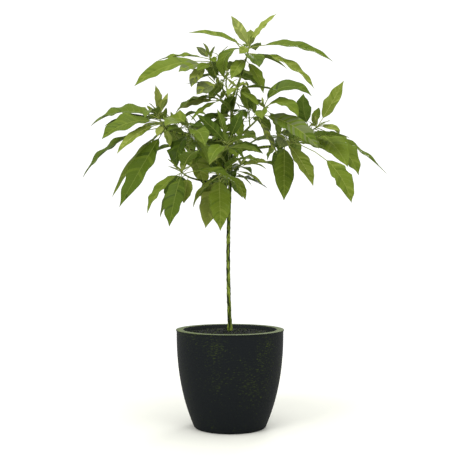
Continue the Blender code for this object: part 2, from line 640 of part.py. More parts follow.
def main():
    clear_scene()
    parts = new_collection("potted_avocado_tree")
    cutters = new_collection("cutters")
    planter = finish_material("planter_anthracite", (0.020, 0.023, 0.023), 0.62)
    earth = finish_material("potting_soil", (0.020, 0.016, 0.012), 0.95)
    bark = finish_material("green_bark", (0.075, 0.105, 0.028), 0.55)
    green = finish_material("avocado_leaf", (0.105, 0.160, 0.035), 0.45)

    pot = make_pot(parts)
    give_material(pot, planter)
    soil = make_soil(parts)
    give_material(soil, earth)
    solids, routes, grown_limbs = make_limbs(parts, cutters)
    for limb in solids.values():
        give_material(limb, bark)
    solids.update(pot=pot, soil=soil)
    make_masses(parts, solids, routes, grown_limbs, green)


main()
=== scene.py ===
"""Finishes the potted avocado tree: planter, soil, bark, twigs and leaves, on a pale studio floor.

Metres, +Z up, and -Y faces the camera.  Bearings are degrees seen from above,
anticlockwise: 0 is to the right, 90 to the back.  Slopes are degrees above the
level.  A limb or leaf starts at its slope plus its bow and ends at its slope
less its bow.
"""

import json
import math
import random
from collections import namedtuple

import bpy
import numpy as np
from mathutils.bvhtree import BVHTree
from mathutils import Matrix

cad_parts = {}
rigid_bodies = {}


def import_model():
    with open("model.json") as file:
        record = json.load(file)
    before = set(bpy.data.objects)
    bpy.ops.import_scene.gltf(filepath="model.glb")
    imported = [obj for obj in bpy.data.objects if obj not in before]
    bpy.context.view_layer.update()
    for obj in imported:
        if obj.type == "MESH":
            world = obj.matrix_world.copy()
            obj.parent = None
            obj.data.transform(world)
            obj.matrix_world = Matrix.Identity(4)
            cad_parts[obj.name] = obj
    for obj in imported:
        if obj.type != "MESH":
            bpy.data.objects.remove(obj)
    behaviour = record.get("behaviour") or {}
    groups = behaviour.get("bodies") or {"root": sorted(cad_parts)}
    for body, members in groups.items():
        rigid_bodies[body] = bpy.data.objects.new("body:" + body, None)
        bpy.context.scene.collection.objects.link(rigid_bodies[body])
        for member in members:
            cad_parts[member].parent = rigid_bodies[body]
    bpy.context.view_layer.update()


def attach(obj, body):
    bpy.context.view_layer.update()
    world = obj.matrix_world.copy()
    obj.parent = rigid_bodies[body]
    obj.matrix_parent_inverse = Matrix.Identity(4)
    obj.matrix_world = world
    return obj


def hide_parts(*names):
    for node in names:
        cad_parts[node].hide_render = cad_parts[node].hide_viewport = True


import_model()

# Planter: outer side, rim and wall as in the solids, with fine ribs cut into the side
POT_HEIGHT = 0.272
POT_RIM_RADIUS = 0.150
POT_FOOT_RADIUS = 0.100
POT_TAPER_POWER = 2.37
POT_LIP_HEIGHT = 0.003
POT_LIP_PROUD = 0.0015
POT_RIM_WIDTH = 0.019
POT_WALL = 0.009
POT_FLOOR = 0.012
POT_EDGE = 0.004
POT_ROUNDING = 0.0008
POT_AROUND = 192
POT_INNER_ROWS = 12
POT_NECK = 0.002
POT_NECK_IN = 0.0001
POT_RIBS_BELOW_LIP = 0.003
POT_FOOT_BEVEL = 0.0012
POT_RIB_ROWS = 230
POT_RIB_LENGTHS = (0.0021, 0.0029, 0.0043, 0.0067)
POT_RIB_DEPTH = 0.00009
POT_RIB_DRIFT = 1.3
POT_RIB_TURNS = (2, 5, 11)
POT_RIB_BUNCHING = 1.5
POT_RIB_BUNCHES = 60
POT_SEED = 5
POLE_RADIUS = 0.0002

# Soil: a low dome of coarse crumbs
SOIL_DROP = 0.012
SOIL_DOME = 0.008
SOIL_AROUND = 160
SOIL_WALL_ROWS = 8
SOIL_DOME_ROWS = 70
SOIL_WAVES = 70
SOIL_WAVE_LENGTHS = (0.004, 0.016)
SOIL_RELIEF = 0.0007
SOIL_CALM = 0.02
SOIL_SEED = 11
CRUMBS = 1500
CRUMB_SIZES = (0.0007, 0.0026)
CRUMB_SHRINK = (0.4, 1.0)
CRUMB_LATITUDES = (-80, -35, 20, 78)
CRUMB_SIDES = 6
CRUMB_SQUASH = 0.7
CRUMB_LUMPS = 0.3
CRUMB_WAVES = 4
CRUMB_WAVE_LENGTHS = (0.6, 1.8)
CRUMB_INNERMOST = 0.004
CRUMB_PROUD = 0.2
CRUMB_LOOKS = (0, 0, 0, 1, 1, 2)
CRUMB_SEED = 12

# Trunk: one upright stem with a slight sway and a flared foot
TRUNK_FORK_HEIGHT = 0.922
TRUNK_RADIUS_LOW = 0.0056
TRUNK_RADIUS_TOP = 0.0044
TRUNK_FLARE = 0.0030
TRUNK_FLARE_HEIGHT = 0.022
TRUNK_SWAY = 0.005
TRUNK_SWAY_LENGTH = 1.25
TRUNK_NOD = 0.004
TRUNK_NOD_LENGTH = 0.9
TRUNK_SETTLE = 0.06
CLEARANCE = 0.0003

# The stem of each spray, and the simple tubes of all limbs that leaves are kept clear of
STEM_ROOT = 0.0023
STEM_TIP = 0.0012
TRUNK_SIDES = 8
LIMB_RINGS = 6
STEM_RINGS = 4
LIMB_SIDES = 6
WALK_STEPS = 48

# Bark: ring spacing, ridges along the stem, and a leaf scar at every node
BARK_PITCH = 0.0016
BARK_TRUNK_SIDES = 28
BARK_BOUGH_SIDES = 18
BARK_FOOT_SHARE = 0.05
BARK_FOOT_ROWS = 24
BARK_RIDGE = 0.035
BARK_RIDGE_COUNTS = (3, 5, 8)
BARK_DRIFT = 1.5
BARK_DRIFT_LENGTHS = (0.03, 0.08)
BARK_SWELLING = 0.10
BARK_SWELLING_REACH = 1.6
BARK_SCAR = 0.24
SCAR_SUNK = 1.2
SCAR_SUNK_TIGHTNESS = 3.5
SCAR_SPACING = 0.021
SCAR_FIRST = (0.3, 0.8)
SCAR_STEP = (0.6, 1.5)
SCAR_HEIGHT = 0.0022
SCAR_WIDTH = 0.55
COLLAR = 0.45
DOME_ANGLES = (25, 50, 70, 84)
DOME_HEIGHT = 0.8
BARK_SEED = 3

# Leaves: a stalk, and a pointed blade folded along its midrib
LEAF_BREADTH = 0.36
LEAF_STALK = 0.18
LEAF_STALK_RADIUS = 0.0014
LEAF_THICKNESS = 0.018
LEAF_FOLD = 12
BLADE_STATIONS = (0.16, 0.42, 0.72)
BLADE_SWELL = 0.8
BLADE_TAPER = 1.0
ROOM_SIDEWAYS = 1.03
ROOM_THICKNESS = 1.6

# The seeded rule for the leaves that have no set place
GOLDEN_ANGLE = 137.5
RULE_TRIES = 6
RULE_FIRST_TURN = 60
RULE_REACH = 0.7
RULE_SLOPE_SPAN = 45
RULE_STRAY = 12
RULE_LENGTH = (0.8, 1.1)
RULE_BOW = (15, 40)
RULE_ROLL = 25
CROWN_CENTRE = (0.010, 0.0, 0.850)
CROWN_REACH = (0.440, 0.400, 0.320)

# Blades in detail: columns from midrib to margin, and rows that follow the side veins
BLADE_COLUMNS = (0.0, 0.16, 0.44, 0.74, 0.965, 1.0)
BLADE_BASE_ROWS = (0.0, 0.03)
BLADE_TIP_ROWS = (0.95, 0.985, 1.0)
BLADE_GAUGE = 0.0006
BLADE_BASE_WIDTH = 0.0006
BLADE_TIP_WIDTH = 0.0002
BLADE_RISE = 0.46
BLADE_DISH = 0.22
DRIP_REACH = 0.13
DRIP_PINCH = 0.38
MARGIN_THINNING = 0.4
MARGIN_WAVE = (0.03, 0.07)
MARGIN_QUICKER = 1.5
STRIPES = (0, 0, 0, 0, 0, 0, 0, 0, -1, 1)
VEIN_PAIRS = (3, 10)
VEIN_SPAN = (0.07, 0.90)
VEIN_PITCH = 0.0155
VEIN_SWEEP = 0.85
VEIN_CURVE = 1.3
VEIN_QUILT = 0.10
QUILT_POWER = 0.7
QUILT_FADE = 4
VEIN_HALF_WIDTH = 0.0011
VEIN_RIDGE = 0.00022
VEIN_KEEL = 0.00044
VEIN_THINNING = 0.8
RIPPLE = (0.07, 0.22)
RIPPLE_WAVES = (2.2, 4.0)
RIPPLE_RISE = 5
TWIST = 14

# Stalks, thicker at the foot, and the midribs that carry them on
STALK_PLACES = (0.0, 0.12, 0.3, 0.65)
STALK_SWELLING = (1.55, 1.25, 1.0, 0.95)
STALK_SIDES = 6
MIDRIB_ROOT = 0.00125
MIDRIB_TIP = 0.0006
MIDRIB_END = 0.985
MIDRIB_SQUASH = 0.8
RIB_SIZE_LEAST = 0.45
RIB_SIZE_GROWTH = 4.0
RIB_SIZE_MOST = 1.15
LEAF_SEED = 41

# Twigs and buds
TWIG_RINGS = 40
TWIG_SIDES = 10
TWIG_SWELLING = 0.35
TWIG_SWELLING_REACH = 0.06
TWIG_SWELLING_MOST = 1.2
BUD_LENGTH = 0.009
BUD_ROWS = (0.0, 0.15, 0.35, 0.55, 0.75, 0.9, 1.0)
BUD_POWER = 0.7
BUD_TIP = 0.12
BUD_BOW = 6
BUD_SIDES = 8

# Young growth at the tips: leaflets, and fine side twigs that end in a bud
LEAFLETS = 4
LEAFLET_LENGTH = (0.022, 0.052)
LEAFLET_LIFT = (5, 45)
LEAFLET_FOLLOW = 0.4
LEAFLET_BOW = (-5, 22)
LEAFLET_ROLL = 20
LEAFLET_BREADTH = 0.34
LEAFLET_STALK = 0.14
LEAFLET_TONES = (3, 4, 5)
LEAFLET_RIB_SIZE = 0.5
TWIGLETS = 2
TWIGLET_FIRST = 0.85
TWIGLET_SPACING = 0.4
TWIGLET_TURN = 90
TWIGLET_STRAY = 30
TWIGLET_SLOPE = (15, 50)
TWIGLET_LENGTH = (0.018, 0.036)
TWIGLET_BOW = -8
TWIGLET_ROOM = 0.08
TWIGLET_RINGS = 8
TWIGLET_RADIUS = 0.0008
TWIGLET_TAPER = (1.3, 0.9)
TWIGLET_BUD = 0.6
TWIGLET_LEAFLETS = 2
YOUNG_SEED = 7

Limb = namedtuple("Limb", "name parent along bearing slope bow length root tip")
Spray = namedtuple("Spray", "name limb along bearing slope bow length more seed leaf_length lift",
                   defaults=(0, 1, 0.16, -10))
Leaf = namedtuple("Leaf", "along bearing slope length bow roll broad stalk",
                  defaults=(15, 0, LEAF_BREADTH, LEAF_STALK))

LIMBS = (
    Limb("leader_right", "trunk", 1.000, 18, 69, -7, 0.112, 0.0034, 0.0025),
    Limb("leader_left", "trunk", 0.975, 211, 56, -6, 0.114, 0.0030, 0.0023),
    Limb("leader_back", "trunk", 0.955, 98, 37, -8, 0.154, 0.0028, 0.0022),
    Limb("leader_front", "trunk", 0.935, 277, 18, -10, 0.100, 0.0028, 0.0022),
    Limb("bough_left_upper", "trunk", 0.815, 188, 9, -9, 0.188, 0.0034, 0.0024),
    Limb("bough_left_lower", "trunk", 0.681, 174, 30, 6, 0.130, 0.0034, 0.0025),
    Limb("bough_left_bottom", "trunk", 0.629, 230, 3, -6, 0.168, 0.0032, 0.0023),
    Limb("bough_right_upper", "trunk", 0.806, 311, 27, -2, 0.123, 0.0032, 0.0023),
    Limb("bough_right_lower", "trunk", 0.763, 3, 8, 8, 0.157, 0.0036, 0.0028),
    Limb("bough_right_outer", "bough_right_lower", 1.000, 350, 29, -6, 0.072, 0.0027, 0.0022),
    Limb("bough_front", "trunk", 0.720, 268, 4, -8, 0.195, 0.0034, 0.0024),
    Limb("bough_back_left", "trunk", 0.849, 132, 6, -6, 0.215, 0.0032, 0.0023),
    Limb("bough_back_right", "trunk", 0.780, 45, 8, -4, 0.226, 0.0032, 0.0024),
    Limb("bough_back", "trunk", 0.733, 88, 21, -8, 0.200, 0.0032, 0.0023),
)

SPRAYS = (
    Spray("foliage_top_right", "leader_right", 1.000, 11, 75, -2, 0.045, 2, 23),
    Spray("foliage_top_left", "leader_left", 1.000, 250, 56, -4, 0.029, 1, 28),
    Spray("foliage_upper_left", "leader_left", 0.520, 242, -5, 0, 0.022, 0, 1),
    Spray("foliage_top_back", "leader_back", 1.000, 84, 54, -4, 0.052, 6, 10, 0.14),
    Spray("foliage_top_front", "leader_front", 1.000, 281, 34, -4, 0.031, 2, 7, 0.12),
    Spray("foliage_fork_left", "trunk", 0.967, 206, 24, 0, 0.033, 1, 22),
    Spray("foliage_left_far", "bough_left_upper", 1.000, 184, 61, -6, 0.040, 2, 22),
    Spray("foliage_left_inner", "bough_left_upper", 0.620, 268, 9, -4, 0.087, 2, 17),
    Spray("foliage_left_mid", "bough_left_lower", 1.000, 182, 33, -2, 0.024, 4, 24),
    Spray("foliage_left_low", "bough_left_bottom", 1.000, 235, 18, -4, 0.039, 3, 1),
    Spray("foliage_low_left", "trunk", 0.651, 250, 1, -6, 0.089, 3, 35),
    Spray("foliage_low_right", "trunk", 0.672, 301, 17, 0, 0.032, 1, 28),
    Spray("foliage_right_upper", "bough_right_upper", 1.000, 302, 41, -4, 0.039, 1, 28),
    Spray("foliage_right_inner", "bough_right_upper", 0.700, 91, 38, -6, 0.083, 3, 9, 0.12),
    Spray("foliage_right_mid", "bough_right_lower", 0.930, 284, 0, -4, 0.089, 3, 38),
    Spray("foliage_right_far", "bough_right_outer", 1.000, 348, 32, 0, 0.030, 2, 30),
    Spray("foliage_centre_front", "trunk", 0.784, 262, 7, 0, 0.049, 5, 5, 0.12),
    Spray("foliage_crown_front", "trunk", 0.901, 271, 16, -4, 0.052, 4, 14, 0.12),
    Spray("foliage_front", "bough_front", 1.000, 265, 20, -4, 0.037, 2, 18, 0.12),
    Spray("foliage_back_left", "bough_back_left", 1.000, 131, 34, -4, 0.049, 9, 22, 0.15),
    Spray("foliage_back_right", "bough_back_right", 1.000, 50, 32, -4, 0.045, 9, 16, 0.14),
    Spray("foliage_back", "bough_back", 1.000, 80, 41, -4, 0.048, 8, 37),
    Spray("foliage_back_low", "trunk", 0.655, 107, 19, -4, 0.045, 7, 26),
)

LEAVES = {
    "foliage_top_right": (
        Leaf(1.00, 203, 56, 0.100, 4, -62, broad=0.32, stalk=0.12),
        Leaf(1.00, 0, 50, 0.125, 16, -45, broad=0.20, stalk=0.12),
        Leaf(0.95, 81, 60, 0.070, 4, 0, broad=0.55, stalk=0.10),
        Leaf(0.90, 0, -9, 0.250, 25, -35, broad=0.26, stalk=0.20),
        Leaf(0.55, 354, -29, 0.225, 28, -35, broad=0.25, stalk=0.22),
        Leaf(0.80, 180, 16, 0.180, 20, 35, broad=0.24, stalk=0.20),
        Leaf(0.70, 214, -47, 0.150, 68, 10, broad=0.42, stalk=0.22),
        Leaf(0.25, 240, -41, 0.115, 12, 30, broad=0.36, stalk=0.14),
        Leaf(0.12, 316, -57, 0.125, 16, -25, broad=0.32, stalk=0.14),
        Leaf(0.50, 290, -31, 0.110, 22, 0, broad=0.60, stalk=0.20),
        Leaf(1.00, 240, -29, 0.065, 6, 40, broad=0.50, stalk=0.20),
    ),
    "foliage_top_left": (
        Leaf(0.95, 201, 35, 0.050, 6, -55, broad=0.44, stalk=0.14),
        Leaf(0.60, 187, -19, 0.230, 25, 40, broad=0.30, stalk=0.20),
        Leaf(0.85, 162, 3, 0.160, 16, 20, broad=0.26, stalk=0.20),
        Leaf(0.40, 212, -18, 0.110, 18, 45, broad=0.50, stalk=0.35),
        Leaf(0.20, 209, -46, 0.095, 30, 45, broad=0.48, stalk=0.26),
        Leaf(0.32, 233, -24, 0.070, 14, 40, broad=0.44, stalk=0.12),
        Leaf(1.00, 300, -27, 0.040, 10, -40, broad=0.60, stalk=0.20),
    ),
    "foliage_upper_left": (
        Leaf(0.90, 174, 3, 0.090, 12, 10, broad=0.20, stalk=0.12),
        Leaf(1.00, 204, -27, 0.070, 20, 45, broad=0.74, stalk=0.12),
    ),
    "foliage_fork_left": (
        Leaf(0.80, 180, -10, 0.135, 16, 35, broad=0.36, stalk=0.25),
        Leaf(1.00, 215, -33, 0.125, 16, 30, broad=0.19, stalk=0.20),
        Leaf(0.60, 145, 13, 0.100, 16, 0, broad=0.36, stalk=0.30),
    ),
    "foliage_left_far": (
        Leaf(0.95, 207, 83, 0.090, 3, 62, broad=0.50, stalk=0.22),
        Leaf(1.00, 47, 64, 0.080, 2, -30, broad=0.24, stalk=0.20),
        Leaf(0.85, 166, 45, 0.055, 0, 40, broad=0.36, stalk=0.30),
        Leaf(0.80, 164, -3, 0.225, 33, 30, broad=0.38, stalk=0.15),
        Leaf(0.68, 168, -3, 0.170, 22, 20, broad=0.26, stalk=0.15),
        Leaf(0.50, 200, -17, 0.185, 30, 34, broad=0.44),
        Leaf(0.45, 217, -33, 0.175, 20, 40, broad=0.22, stalk=0.20),
        Leaf(0.15, 185, -32, 0.275, 27, 25, broad=0.26, stalk=0.30),
        Leaf(0.30, 250, -41, 0.055, 22, 20, broad=0.50, stalk=0.20),
        Leaf(0.20, 293, -52, 0.080, 14, 0, broad=0.34, stalk=0.20),
        Leaf(0.08, 221, -56, 0.270, 2, 32, broad=0.25, stalk=0.14),
        Leaf(0.22, 174, -53, 0.245, 7, 30, broad=0.25),
        Leaf(0.50, 142, -6, 0.085, 18, 0, broad=0.32, stalk=0.20),
        Leaf(0.75, 16, -9, 0.055, 15, 0, broad=0.44, stalk=0.20),
    ),
    "foliage_left_inner": (
        Leaf(0.90, 153, 20, 0.080, 50, 50, broad=0.80, stalk=0.26),
        Leaf(0.70, 207, -7, 0.070, 26, 20, broad=0.60, stalk=0.40),
        Leaf(0.50, 313, -49, 0.125, 12, 0, broad=0.44, stalk=0.10),
        Leaf(0.25, 226, -63, 0.115, 40, 0, broad=0.60, stalk=0.16),
        Leaf(1.00, 260, 66, 0.025, 0, 50, broad=0.20, stalk=0.40),
        Leaf(1.00, 336, -3, 0.050, 18, -30, broad=0.60, stalk=0.20),
    ),
    "foliage_left_mid": (
        Leaf(0.30, 298, -49, 0.155, 12, -10, broad=0.43, stalk=0.12),
        Leaf(0.90, 263, -58, 0.050, 10, 20, broad=0.30, stalk=0.25),
        Leaf(1.00, 334, 24, 0.025, 0, -40, broad=0.24, stalk=0.30),
        Leaf(0.80, 153, -19, 0.050, 28, 0, broad=0.36, stalk=0.25),
    ),
    "foliage_left_low": (
        Leaf(0.90, 190, -50, 0.145, 24, 30, broad=0.36, stalk=0.12),
        Leaf(0.85, 252, -58, 0.170, 10, 0, broad=0.35, stalk=0.12),
        Leaf(0.15, 257, -60, 0.085, 10, 0, broad=0.52, stalk=0.12),
        Leaf(0.95, 157, -62, 0.135, 10, 0, broad=0.20, stalk=0.20),
        Leaf(1.00, 204, 41, 0.050, 6, 30, broad=0.34, stalk=0.25),
    ),
    "foliage_low_left": (
        Leaf(0.70, 233, -62, 0.160, 14, 30, broad=0.42, stalk=0.10),
        Leaf(1.00, 273, -60, 0.175, 12, 0, broad=0.37, stalk=0.12),
        Leaf(1.00, 196, -50, 0.115, 22, 20, broad=0.32, stalk=0.20),
        Leaf(0.95, 172, 7, 0.040, 38, 0, broad=0.20, stalk=0.20),
    ),
    "foliage_low_right": (
        Leaf(0.30, 326, -60, 0.090, 10, -30),
        Leaf(0.60, 354, -38, 0.065, 12, -20, broad=0.24, stalk=0.15),
        Leaf(0.80, 353, -27, 0.090, 20, -20, broad=0.22, stalk=0.15),
        Leaf(1.00, 351, 13, 0.095, 24, -35, broad=0.36, stalk=0.26),
        Leaf(0.90, 323, -1, 0.110, 34, 0, broad=0.24, stalk=0.30),
    ),
    "foliage_right_upper": (
        Leaf(0.40, 333, -31, 0.200, 20, -42, broad=0.33, stalk=0.12),
        Leaf(1.00, 2, 14, 0.165, 64, -40, broad=0.35, stalk=0.16),
        Leaf(0.90, 342, -16, 0.120, 60, -30, broad=0.46, stalk=0.16),
        Leaf(0.95, 32, -57, 0.095, 40, 0, broad=0.38, stalk=0.24),
        Leaf(0.15, 332, -62, 0.115, -4, -20, broad=0.30, stalk=0.14),
        Leaf(1.00, 103, 58, 0.040, 5, 40, broad=0.20, stalk=0.30),
    ),
    "foliage_right_inner": (
        Leaf(0.85, 224, 47, 0.075, 10, 20, broad=0.28, stalk=0.35),
        Leaf(0.95, 129, 74, 0.090, 4, 60, broad=0.40, stalk=0.10),
        Leaf(0.60, 199, 3, 0.035, 22, 0, broad=0.50, stalk=0.20),
    ),
    "foliage_right_mid": (
        Leaf(0.60, 317, -54, 0.150, 12, -25, broad=0.36, stalk=0.10),
        Leaf(0.25, 265, -69, 0.170, 8, 0, broad=0.35, stalk=0.08),
        Leaf(0.80, 239, -18, 0.075, 58, 40, broad=0.76, stalk=0.22),
        Leaf(0.90, 339, -45, 0.250, 32, -40, broad=0.41, stalk=0.46),
        Leaf(1.00, 29, 59, 0.040, 5, -20, broad=0.30, stalk=0.25),
    ),
    "foliage_right_far": (
        Leaf(0.30, 222, 74, 0.110, -26, -60, broad=0.58, stalk=0.26),
        Leaf(0.20, 35, 64, 0.080, 0, -50, broad=0.44, stalk=0.34),
        Leaf(1.00, 356, 60, 0.150, -4, -60, broad=0.38, stalk=0.20),
        Leaf(0.95, 343, -11, 0.070, 22, -40, broad=0.48, stalk=0.24),
        Leaf(0.90, 8, -32, 0.245, 13, -35, broad=0.18, stalk=0.20),
        Leaf(0.70, 339, -47, 0.190, 24, -30, broad=0.42, stalk=0.20),
        Leaf(0.45, 309, -40, 0.180, 20, -30, broad=0.42, stalk=0.14),
    ),
    "foliage_front": (
        Leaf(0.80, 213, -44, 0.075, 10, 25, broad=0.56, stalk=0.08),
        Leaf(1.00, 201, 41, 0.110, 8, -40, broad=0.30, stalk=0.12),
        Leaf(0.92, 171, 74, 0.095, 6, -40, broad=0.36, stalk=0.25),
        Leaf(0.56, 326, -36, 0.065, 22, 0, broad=0.44, stalk=0.12),
        Leaf(0.72, 7, 16, 0.085, 28, 20, broad=0.28, stalk=0.15),
        Leaf(0.44, 13, -7, 0.090, 18, 30, broad=0.30, stalk=0.12),
        Leaf(0.64, 32, 65, 0.110, 4, -50, broad=0.36, stalk=0.30),
    ),
    "foliage_top_front": (
        Leaf(0.60, 324, -34, 0.085, 18, -25, broad=0.36, stalk=0.15),
        Leaf(0.90, 20, -54, 0.075, 22, 0, broad=0.44, stalk=0.20),
        Leaf(1.00, 246, -26, 0.075, 20, 0, broad=0.44, stalk=0.20),
    ),
    "foliage_crown_front": (
        Leaf(0.60, 210, -13, 0.060, 12, -30, broad=0.44, stalk=0.15),
        Leaf(1.00, 289, -51, 0.105, 20, 0, broad=0.38, stalk=0.12),
    ),
}

# Leaf greens from deep to pale, and a grey-green that is a painted sheen: top, underside, least and most
# roughness
LEAF_TONES = (
    ("deep", (0.031, 0.053, 0.0040), (0.041, 0.069, 0.0080), 0.34, 0.50),
    ("dark", (0.051, 0.081, 0.0060), (0.060, 0.096, 0.0120), 0.36, 0.52),
    ("green", (0.072, 0.106, 0.0085), (0.081, 0.121, 0.0170), 0.38, 0.54),
    ("fresh", (0.092, 0.129, 0.0115), (0.100, 0.143, 0.0230), 0.40, 0.56),
    ("light", (0.122, 0.158, 0.0200), (0.134, 0.172, 0.0360), 0.42, 0.58),
    ("young", (0.167, 0.204, 0.0350), (0.188, 0.226, 0.0560), 0.44, 0.60),
    ("pale", (0.240, 0.280, 0.0550), (0.300, 0.335, 0.0900), 0.44, 0.60),
    ("bloomed", (0.090, 0.112, 0.0370), (0.106, 0.128, 0.0480), 0.30, 0.46),
)
PAINTED_SHEEN = 7

# The two faces of a leaf, with what each adds to the roughness and how strongly it mirrors
LEAF_FACES = (("top", 0.0, 0.05), ("underside", 0.15, 0.03))

# The green of each leaf with a set place, and the share of its stripes that carry a painted grey sheen
SET_TONES = {
    "foliage_top_right": (5, 5, 4, 2, 4, 3, 2, 3, 3, 1, 4),
    "foliage_top_left": (4, 3, 3, 3, 5, 2, 2),
    "foliage_upper_left": (4, 5),
    "foliage_top_front": (3, 1, 4),
    "foliage_fork_left": (6, 3, 5),
    "foliage_left_far": (6, 6, 4, 2, 1, 2, 4, 1, 6, 5, 1, 3, 4, 2),
    "foliage_left_inner": (3, 1, 2, 0, 5, 0),
    "foliage_left_mid": (4, 3, 5, 0),
    "foliage_left_low": (3, 1, 4, 2, 3),
    "foliage_low_left": (5, 3, 4, 5),
    "foliage_low_right": (4, 4, 5, 5, 4),
    "foliage_right_upper": (2, 1, 3, 3, 5, 5),
    "foliage_right_inner": (3, 2, 0),
    "foliage_right_mid": (4, 2, 5, 3, 1),
    "foliage_right_far": (1, 3, 4, 5, 2, 3, 3),
    "foliage_front": (5, 0, 2, 1, 3, 3, 0),
    "foliage_crown_front": (4, 2),
}
PAINTED_SHEEN_SHARES = {
    "foliage_top_left": {0: 0.9, 3: 0.5, 4: 0.3},
    "foliage_upper_left": {1: 0.5},
    "foliage_right_upper": {0: 0.3, 4: 0.5},
    "foliage_right_mid": {2: 0.5},
}

# How the leaves of the rule are dealt deeper greens low down and inside the crown, where it is shaded:
# painted shade
SHADE_HEIGHT = 0.62
SHADE_RISE = 0.5
SHADE_OUTWARD = 0.50
SHADE_UPWARD = 0.45
SHADE_STRAY = (-0.14, 0.24)
SHADE_STEPS = (0.18, 0.32, 0.50, 0.75)

# Veins and stalks: which of three colours they have on each green, and their roughness and mirroring
VEIN_TONES = (0, 0, 1, 1, 2, 2, 2)
VEIN_COLOURS = ((0.090, 0.125, 0.022), (0.150, 0.190, 0.036), (0.240, 0.275, 0.070))
STALK_COLOURS = ((0.120, 0.155, 0.028), (0.180, 0.215, 0.042), (0.250, 0.280, 0.072))
VEIN_GLOSS = (0.40, 0.60, 0.04)
STALK_GLOSS = (0.35, 0.55, 0.05)

# The sprays whose blades are one piece
LEAF_GROUPS = {
    "leaves_top": ("top_right", "top_left", "upper_left", "top_back", "top_front", "fork_left"),
    "leaves_left": ("left_far", "left_inner", "left_mid", "left_low", "low_left"),
    "leaves_right": ("low_right", "right_upper", "right_inner", "right_mid", "right_far"),
    "leaves_middle": ("centre_front", "crown_front", "front"),
    "leaves_back": ("back_left", "back_right", "back", "back_low"),
}

# Bark, old and young, in three colours each, and the limbs that have the young bark
BARK_COLOURS = {
    "green_bark": ((0.012, 0.016, 0.006), (0.046, 0.072, 0.006), (0.165, 0.210, 0.030)),
    "young_bark": ((0.045, 0.066, 0.009), (0.095, 0.128, 0.016), (0.180, 0.215, 0.045)),
}
YOUNG_LIMBS = ("leader_right", "leader_left", "leader_back", "leader_front",
               "bough_right_upper", "bough_right_outer")

# Planter and soil: plain colour and painted olive glints, and dark and pale clods
PAINTED_GLINT_PATCHES = 0.32
PAINTED_GLINT_RANGE = (0.775, 0.87)
PLANTER_COLOURS = {
    "anthracite_planter": ((0.0062, 0.0077, 0.0088), (0.030, 0.042, 0.008)),
    # The rim's colour is a painted highlight: far lighter than the planter, as where light falls on its top.
    "worn_rim": ((0.098, 0.122, 0.052), (0.160, 0.200, 0.044)),
    # The inner wall's colour is painted light: a lighter copy of the planter's that lifts the shade inside
    # it.
    "inner_wall": ((0.016, 0.019, 0.020), (0.050, 0.066, 0.016)),
}
SOIL_COLOURS = {
    "dark_soil": ((0.0036, 0.0046, 0.0046), (0.0070, 0.0092, 0.0060)),
    "dark_crumbs": ((0.0050, 0.0064, 0.0062), (0.010, 0.013, 0.008)),
    "olive_crumbs": ((0.034, 0.050, 0.006), (0.062, 0.086, 0.010)),
}

# Studio: a pale floor, white surroundings and four lamps, each with its place, size and power
FLOOR_SIZE = 2.8
FLOOR_COLOUR = (0.670, 0.673, 0.618)
WORLD_STRENGTH = 1.16
LIGHT_TARGET = (0.0, 0.0, 0.7)
LIGHTS = (
    ("overhead", (-0.1, -0.8, 3.4), 1.6, 55),
    ("front_left", (-1.9, -2.4, 1.7), 1.2, 38),
    ("front_right", (1.7, -2.4, 1.3), 1.2, 17),
    ("back", (0.9, 2.4, 2.2), 1.2, 38),
)
CAMERA_PLACE = (0.0, -2.306, 0.515)
CAMERA_PITCH = 90.87
CAMERA_LENS = 64.2
CAMERA_SENSOR = 36


# Meshes

def ring_quads(rings, sides):
    """Faces between rings of points, each ring closed on itself."""
    ring = np.arange(rings - 1)[:, None] * sides
    here = np.arange(sides)
    after = (here + 1) % sides
    quads = np.stack([ring + here, ring + sides + here, ring + sides + after, ring + after], axis=-1)
    return quads.reshape(-1, 4)


def cap_triangles(rings, sides):
    """Fans that close the first and the last ring of a tube."""
    fan = np.stack([np.zeros(sides - 2, int), np.arange(1, sides - 1), np.arange(2, sides)], axis=-1)
    return np.concatenate([fan, fan[:, ::-1] + (rings - 1) * sides])


